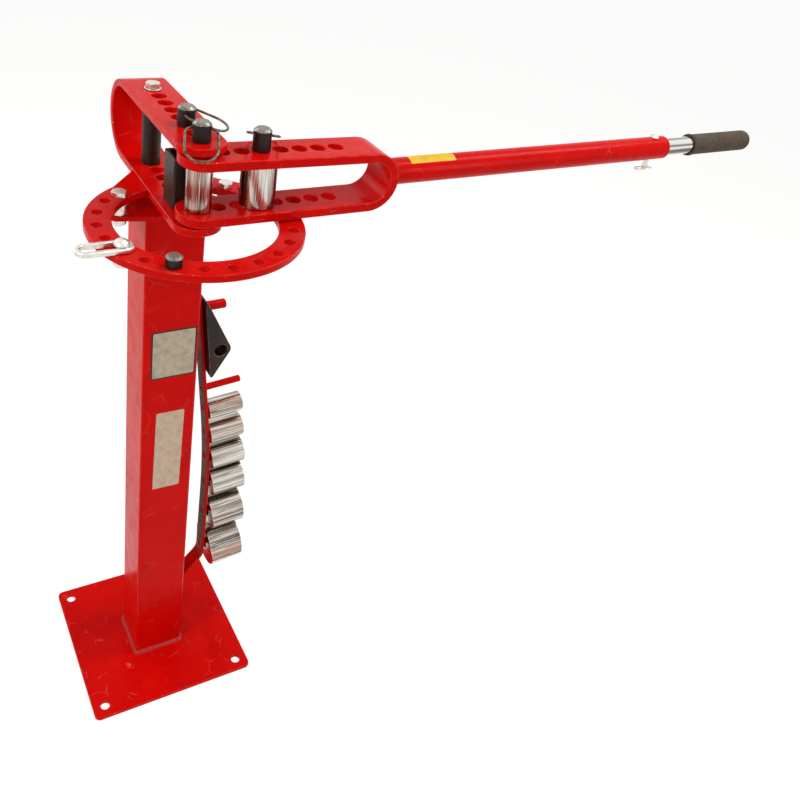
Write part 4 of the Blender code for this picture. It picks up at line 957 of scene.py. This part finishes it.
def make_handle():
    along = HANDLE_AXIS @ about("Y", QUARTER)
    tube_end = FORK_BEND_R + HANDLE_LENGTH
    pin_x = tube_end - LOCK_PIN_INSET
    made = tube(HANDLE_D, HANDLE_WALL, 0, tube_end, 0.9 * MM)
    for vert in made.verts:
        if vert.co.z < HANDLE_D:
            vert.co.z += math.sqrt((FORK_BEND_R + GAP) ** 2 - vert.co.x ** 2)
    pin_hole = at(0, 0, pin_x) @ about("Y", QUARTER)
    mesh = cut(mesh_of(made), rod(LOCK_PIN_HOLE_D, HANDLE_D + OVERRUN), pin_hole)
    place("handle_tube", mesh, RED, "swing_arm", along)
    grip_start = tube_end + EXTENSION_SHOWN
    grip_end = grip_start + GRIP_LENGTH
    made = tube(EXTENSION_D, EXTENSION_WALL, tube_end - EXTENSION_INSERT,
                grip_end - GRIP_END_WALL - GAP, 0.5 * MM)
    mesh = cut(mesh_of(made), rod(LOCK_PIN_HOLE_D, HANDLE_D + OVERRUN), pin_hole)
    place("handle_extension", mesh, CHROME, "swing_arm", along)
    outer, inner = GRIP_D / 2, EXTENSION_D / 2 + GAP
    roll = outer + GRIP_COLLAR / 2
    profile = [(0, grip_end, 0), (outer, grip_end, GRIP_ROUND),
               (outer, grip_start + 3 * GRIP_COLLAR, GRIP_COLLAR / 2),
               (roll, grip_start + 2 * GRIP_COLLAR, GRIP_COLLAR / 2),
               (roll, grip_start + GRIP_COLLAR / 2, GRIP_COLLAR / 3),
               (outer, grip_start, GRIP_COLLAR / 4), (inner, grip_start, 0),
               (inner, grip_end - GRIP_END_WALL, 0), (0, grip_end - GRIP_END_WALL, 0)]
    place("hand_grip", turned(profile, 96, steps=8), RUBBER, "swing_arm", along)
    make_lock_pin(pin_x)


def make_lock_pin(pin_x):
    seat, low = HANDLE_D / 2 + GAP, -HANDLE_D / 2 - LOCK_PIN_TAIL
    head, shank = LOCK_PIN_HEAD_D / 2, LOCK_PIN_D / 2
    profile = [(0, seat + LOCK_PIN_HEAD, 0), (head * 0.55, seat + LOCK_PIN_HEAD * 0.92, 2 * MM),
               (head, seat + LOCK_PIN_HEAD / 2, 1.2 * MM), (head, seat, GAP), (shank, seat, 0),
               (shank, low, 0.8 * MM), (0, low, 0)]
    clip_z = low + CLIP_HOLE_RISE
    mesh = cut(mesh_of(turned(profile, 56)), rod(CLIP_HOLE_D, LOCK_PIN_D + OVERRUN),
               at(0, 0, clip_z) @ about("Y", QUARTER))
    place("lock_pin", mesh, ZINC, "lock_pin", HANDLE_AXIS @ at(pin_x))
    beside = -shank - CLIP_WIRE_D / 2 - GAP
    far = CLIP_EYE_R - CLIP_LENGTH
    path = [(CLIP_STRAIGHT_PAST, 0)] + arc(far, -CLIP_EYE_R, CLIP_EYE_R, QUARTER, 3 * QUARTER, 24)
    path += rounded([(far, -2 * CLIP_EYE_R, 0), (-LOCK_PIN_D, beside - CLIP_FLARE, 1 * MM),
                     (-shank, beside - GAP, 2 * MM), (shank, beside - GAP, 2 * MM),
                     (LOCK_PIN_D, beside - CLIP_FLARE, 0)], closed=False, steps=6)[1:]
    place("lock_pin_clip", wire([(x, y, 0) for x, y in path], CLIP_WIRE_D), ZINC,
          "lock_pin_clip", HANDLE_AXIS @ at(pin_x, 0, clip_z))


# Storage bracket, pegs, spare dies and the angle block

def bracket_path():
    """The bar's inner face, down from its top."""
    far = POST_FACE + BRACKET_STAND_OFF
    shoulder = BRACKET_TOP - BRACKET_SHOULDER_DROP
    heel = shoulder - BRACKET_STRAIGHT
    corners = [(POST_FACE, BRACKET_TOP, 0), (far, shoulder, BRACKET_SHOULDER_R),
               (far, heel, BRACKET_HEEL_R), (POST_FACE, heel - BRACKET_HEEL_DROP, 0)]
    return rounded(corners, closed=False)


def bracket_x(z):
    path = bracket_path()
    for (x0, z0), (x1, z1) in zip(path, path[1:]):
        if z1 <= z <= z0:
            return x0 + (x1 - x0) * (z - z0) / (z1 - z0)
    return path[-1][0]


def bracket_lean(z):
    step = BRACKET_THICK
    return math.atan2(bracket_x(z - step) - bracket_x(z + step), 2 * step)


def bar_crossing(z):
    return BRACKET_THICK / math.cos(PEG_TILT) + BRACKET_THICK * abs(bracket_lean(z) - PEG_TILT)


def rack_places():
    """The height and the die diameter of each rack peg, from the empty one down."""
    sizes = [inches * INCH for inches in RACK_DIE_INCHES]
    z, above = BRACKET_TOP - EMPTY_PEG_DROP, sizes[0]
    places = [(z, None)]
    for size, share in zip(sizes, RACK_GAP_SHARES):
        z -= above / 2 + RACK_GAP * share + size / 2
        places.append((z, size))
        above = size
    return places


def peg_axis(z, tilt):
    return at(bracket_x(z), 0, z) @ about("Y", QUARTER - tilt)


def make_peg(name, axis, diameter, crossing, shown):
    radius, end = diameter / 2, crossing + shown
    profile = [(0, end, 0), (radius - radius / 5, end, GAP), (radius, end - radius / 5, 2 * GAP),
               (radius, PEG_RECESS, GAP), (0, PEG_RECESS, 0)]
    place(name, turned(profile, 48), RED, spot=axis)


def make_bracket():
    inner = bracket_path()
    middle = []
    for i, (x, z) in enumerate(inner):
        before, after = Vector(inner[max(i - 1, 0)]), Vector(inner[min(i + 1, len(inner) - 1)])
        along = (after - before).normalized()
        middle.append((x - along.y * BRACKET_THICK / 2, z + along.x * BRACKET_THICK / 2))
    total = length_of(middle)
    half = BRACKET_WIDTH / 2
    outline = [(0, -half), (total, -half), (total, half), (0, half)]
    mesh = mesh_of(bent(flat_piece([outline], BRACKET_THICK, 0.9 * MM), middle))
    block_z = BRACKET_TOP - BLOCK_PEG_DROP
    for z, diameter, tilt in [(z, PEG_D, PEG_TILT) for z, size in rack_places()] + [
            (block_z, BLOCK_PEG_D, BLOCK_PEG_TILT)]:
        mesh = cut(mesh, rod(diameter + 2 * GAP, 4 * BRACKET_THICK), peg_axis(z, tilt))
    place("storage_bracket", mesh, RED_SHADED)
    for count, (z, size) in enumerate(rack_places()):
        axis = peg_axis(z, PEG_TILT)
        make_peg("die_peg_%d" % count, axis, PEG_D, bar_crossing(z), PEG_SHOWN)
        if size:
            hang = (DIE_BORE - PEG_D) / 2 - GAP
            skew = abs(bracket_lean(z) - PEG_TILT)
            stand = bar_crossing(z) + GAP + (size / 2 + hang) * math.sin(skew)
            name = "rack_die_%d" % count
            place(name, die(size), BRIGHT, name, axis @ at(hang, 0, stand))
    make_peg("block_peg", peg_axis(block_z, BLOCK_PEG_TILT), BLOCK_PEG_D, bar_crossing(block_z),
             BLOCK_PEG_SHOWN)


def make_angle_block():
    peg_z = BRACKET_TOP - BLOCK_PEG_DROP
    out = BRACKET_THICK / math.cos(bracket_lean(peg_z)) + 2 * GAP
    peg_x = bracket_x(peg_z)
    top_z, low_z = peg_z + BLOCK_ABOVE_PEG, peg_z - BLOCK_BELOW_PEG
    nose_z = peg_z - BLOCK_NOSE_BELOW_PEG
    nose = (bracket_x(nose_z) + out + BLOCK_NOSE_OUT, nose_z)
    corners = [(bracket_x(top_z) + out, top_z, BLOCK_TIP_R),
               (bracket_x(low_z) + out, low_z, BLOCK_TIP_R), (*nose, BLOCK_NOSE_R)]
    bore_x = nose[0] - BLOCK_NOSE_R - BLOCK_BORE_WALL
    outline = [(x - peg_x, z - peg_z) for x, z in rounded(corners, steps=16)]
    bore = circle(bore_x - peg_x, nose_z - peg_z, BLOCK_BORE)
    mesh = mesh_of(flat_piece([outline, bore], DIE_LENGTH, 1.2 * MM))
    mesh.transform(about("X", QUARTER))
    hole = BLOCK_PEG_D + BLOCK_PEG_HOLE_PLAY + 2 * GAP
    mesh = cut(mesh, rod(hole, BLOCK_NOSE_BELOW_PEG),
               at(0, 0, -BLOCK_PEG_HOLE_PLAY / 2) @ about("Y", QUARTER - BLOCK_PEG_TILT))
    place("angle_block", mesh, BLACK_PAINT, "angle_block", at(peg_x, 0, peg_z))


# Labels: bare stock where the real one carries its print

def make_labels():
    plate = printed_stock("bare_aluminium_plate", "#C6BBA6", "#8F8574", 0.38, 0.2)
    border = printed_stock("black_plate_border", "#12100F", "#26211D", 0.4)
    paper = printed_stock("bare_paper_sticker", "#DCC8B4", "#B59C84", 0.5)
    yellow = printed_stock("bare_yellow_film", "#F2C81A", "#D9A812", 0.4)
    make_flat_label("plate_border", border, PLATE_WIDTH, PLATE_HEIGHT, BORDER_LIFT, PLATE_X, PLATE_Z)
    make_flat_label("plate_face", plate, PLATE_WIDTH - 2 * PLATE_BORDER,
                    PLATE_HEIGHT - 2 * PLATE_BORDER, PLATE_LIFT, PLATE_X, PLATE_Z)
    make_flat_label("sticker", paper, STICKER_WIDTH, STICKER_HEIGHT, STICKER_LIFT, STICKER_X,
                    STICKER_Z, STICKER_TILT)
    make_handle_label(yellow)


def make_flat_label(name, finish, width, height, lift, x, z, tilt=0.0):
    """Stock on the post's front, centred on x and z, that stands out by its lift."""
    stock = flat_piece([rounded_box(width, height, LABEL_CORNER_R)], lift, LABEL_EDGE, steps=1)
    place(name, stock, finish, spot=at(x, -POST_SIDE / 2 - lift / 2, z) @ about("X", QUARTER)
          @ about("Z", tilt), nodes=())


def make_handle_label(finish):
    """Film wrapped on the upper front of the handle."""
    made, steps = bmesh.new(), 16
    inner, outer = [], []
    for rows, lift in ((inner, FILM_LIFT), (outer, FILM_LIFT + FILM_THICK)):
        out = HANDLE_D / 2 + lift
        for count in range(steps + 1):
            angle = FILM_LOW_ANGLE + FILM_SPAN * count / steps
            rows.append([made.verts.new((x, -out * math.cos(angle), out * math.sin(angle)))
                         for x in (FILM_START, FILM_END)])
    order = inner + outer[::-1]
    for a, b in zip(order, order[1:] + order[:1]):
        made.faces.new((a[0], a[1], b[1], b[0]))
    for side in (0, 1):
        for i in range(steps):
            made.faces.new((inner[i][side], inner[i + 1][side], outer[i + 1][side],
                            outer[i][side]))
    place("handle_label", made, finish, "swing_arm", HANDLE_AXIS, nodes=())


# Room, lamps and camera

def seen_by_camera(tree):
    """1 for what the camera sees, straight, mirrored or through a piece, and 0 for plain light."""
    path = add(tree, "LightPath")
    seen = path.outputs["Is Camera Ray"]
    for kind in ("Is Glossy Ray", "Is Transmission Ray"):
        seen = add(tree, "Math", {0: seen, 1: path.outputs[kind]}, operation="MAXIMUM").outputs[0]
    return seen


def make_floor():
    """A pale floor that takes the part's shadow."""
    mesh = bpy.data.meshes.new("floor")
    corners = rounded_box(2 * FLOOR_REACH, 2 * FLOOR_REACH, 0)
    mesh.from_pydata([(x, y, 0) for x, y in corners], [], [(0, 1, 2, 3)])
    floor = linked("floor", mesh)
    floor.location.z = -GAP
    paint = bpy.data.materials.new("matt_white_floor")
    paint.use_nodes = True
    tree = paint.node_tree
    tree.nodes.clear()
    matt = add(tree, "BsdfDiffuse", {"Color": "#E8E6E2"})
    soft = add(tree, "BsdfDiffuse", {"Color": "#9A9896"})
    glow = add(tree, "Emission", {"Color": "#FFFFFF", "Strength": FLOOR_GLOW})
    lit = add(tree, "AddShader", {0: soft.outputs[0], 1: glow.outputs[0]})
    both = add(tree, "MixShader", {0: seen_by_camera(tree), 1: matt.outputs[0], 2: lit.outputs[0]})
    add(tree, "OutputMaterial", {"Surface": both.outputs[0]}, is_active_output=True)
    mesh.materials.append(paint)


def make_room():
    """An even pale surround, which lights the part less than it shows."""
    world = bpy.data.worlds.new("pale_room")
    bpy.context.scene.world = world
    world.use_nodes = True
    tree = world.node_tree
    tree.nodes.clear()
    fill = add(tree, "Background", {"Color": "#FFFFFF", "Strength": ROOM_FILL})
    pale = add(tree, "Background", {"Color": "#FFFFFF", "Strength": ROOM_SHOWN})
    both = add(tree, "MixShader", {0: seen_by_camera(tree), 1: fill.outputs[0],
                                   2: pale.outputs[0]})
    add(tree, "OutputWorld", {"Surface": both.outputs[0]})


def make_lamp(name, stand, aim, size, watts, tint):
    lamp = bpy.data.lights.new(name, "AREA")
    lamp.shape = "RECTANGLE"
    lamp.size, lamp.size_y = size
    lamp.energy = watts
    lamp.color = colour(tint)[:3]
    holder = linked(name, lamp)
    facing = Vector(aim) - Vector(stand)
    holder.rotation_euler = facing.to_track_quat("-Z", "Y").to_euler()
    holder.location = stand


def make_camera():
    lens = bpy.data.cameras.new("camera")
    camera = linked("camera", lens)
    camera.location = CAMERA_PLACE
    camera.rotation_euler = [math.radians(turn) for turn in CAMERA_TURNS]
    lens.sensor_width = CAMERA_SENSOR
    lens.lens = CAMERA_LENS
    lens.shift_x, lens.shift_y = CAMERA_SHIFT
    lens.clip_end = CAMERA_FAR
    bpy.context.scene.camera = camera


make_camera()
make_floor()
make_room()
make_lamp("overhead_strip", stand=(1.5, -0.3, 2.75), aim=(0.25, -0.1, 0.8), size=(0.5, 1.6),
          watts=26, tint="#FFFDF8")
make_lamp("left_window", stand=(-2.1, -0.9, 1.9), aim=(0, 0, 0.55), size=(0.9, 1.3),
          watts=22, tint="#FFE2C4")
make_lamp("front_strip", stand=(1.7, -1.9, 1.5), aim=(0.2, -0.1, 0.7), size=(0.25, 1.2),
          watts=8, tint="#FFFFFF")
make_lamp("rim_strip", stand=(-1.0, 1.9, 1.9), aim=(0, 0, 0.8), size=(0.25, 1.4),
          watts=10, tint="#FFFFFF")

make_base()
make_weld_bead()
make_top_plate()
make_degree_ring()
make_ring_bolts()
make_frame()
make_pins()
make_stops()
make_fork()
make_handle()
make_bracket()
make_angle_block()
make_labels()

bpy.context.scene.view_settings.view_transform = "Standard"
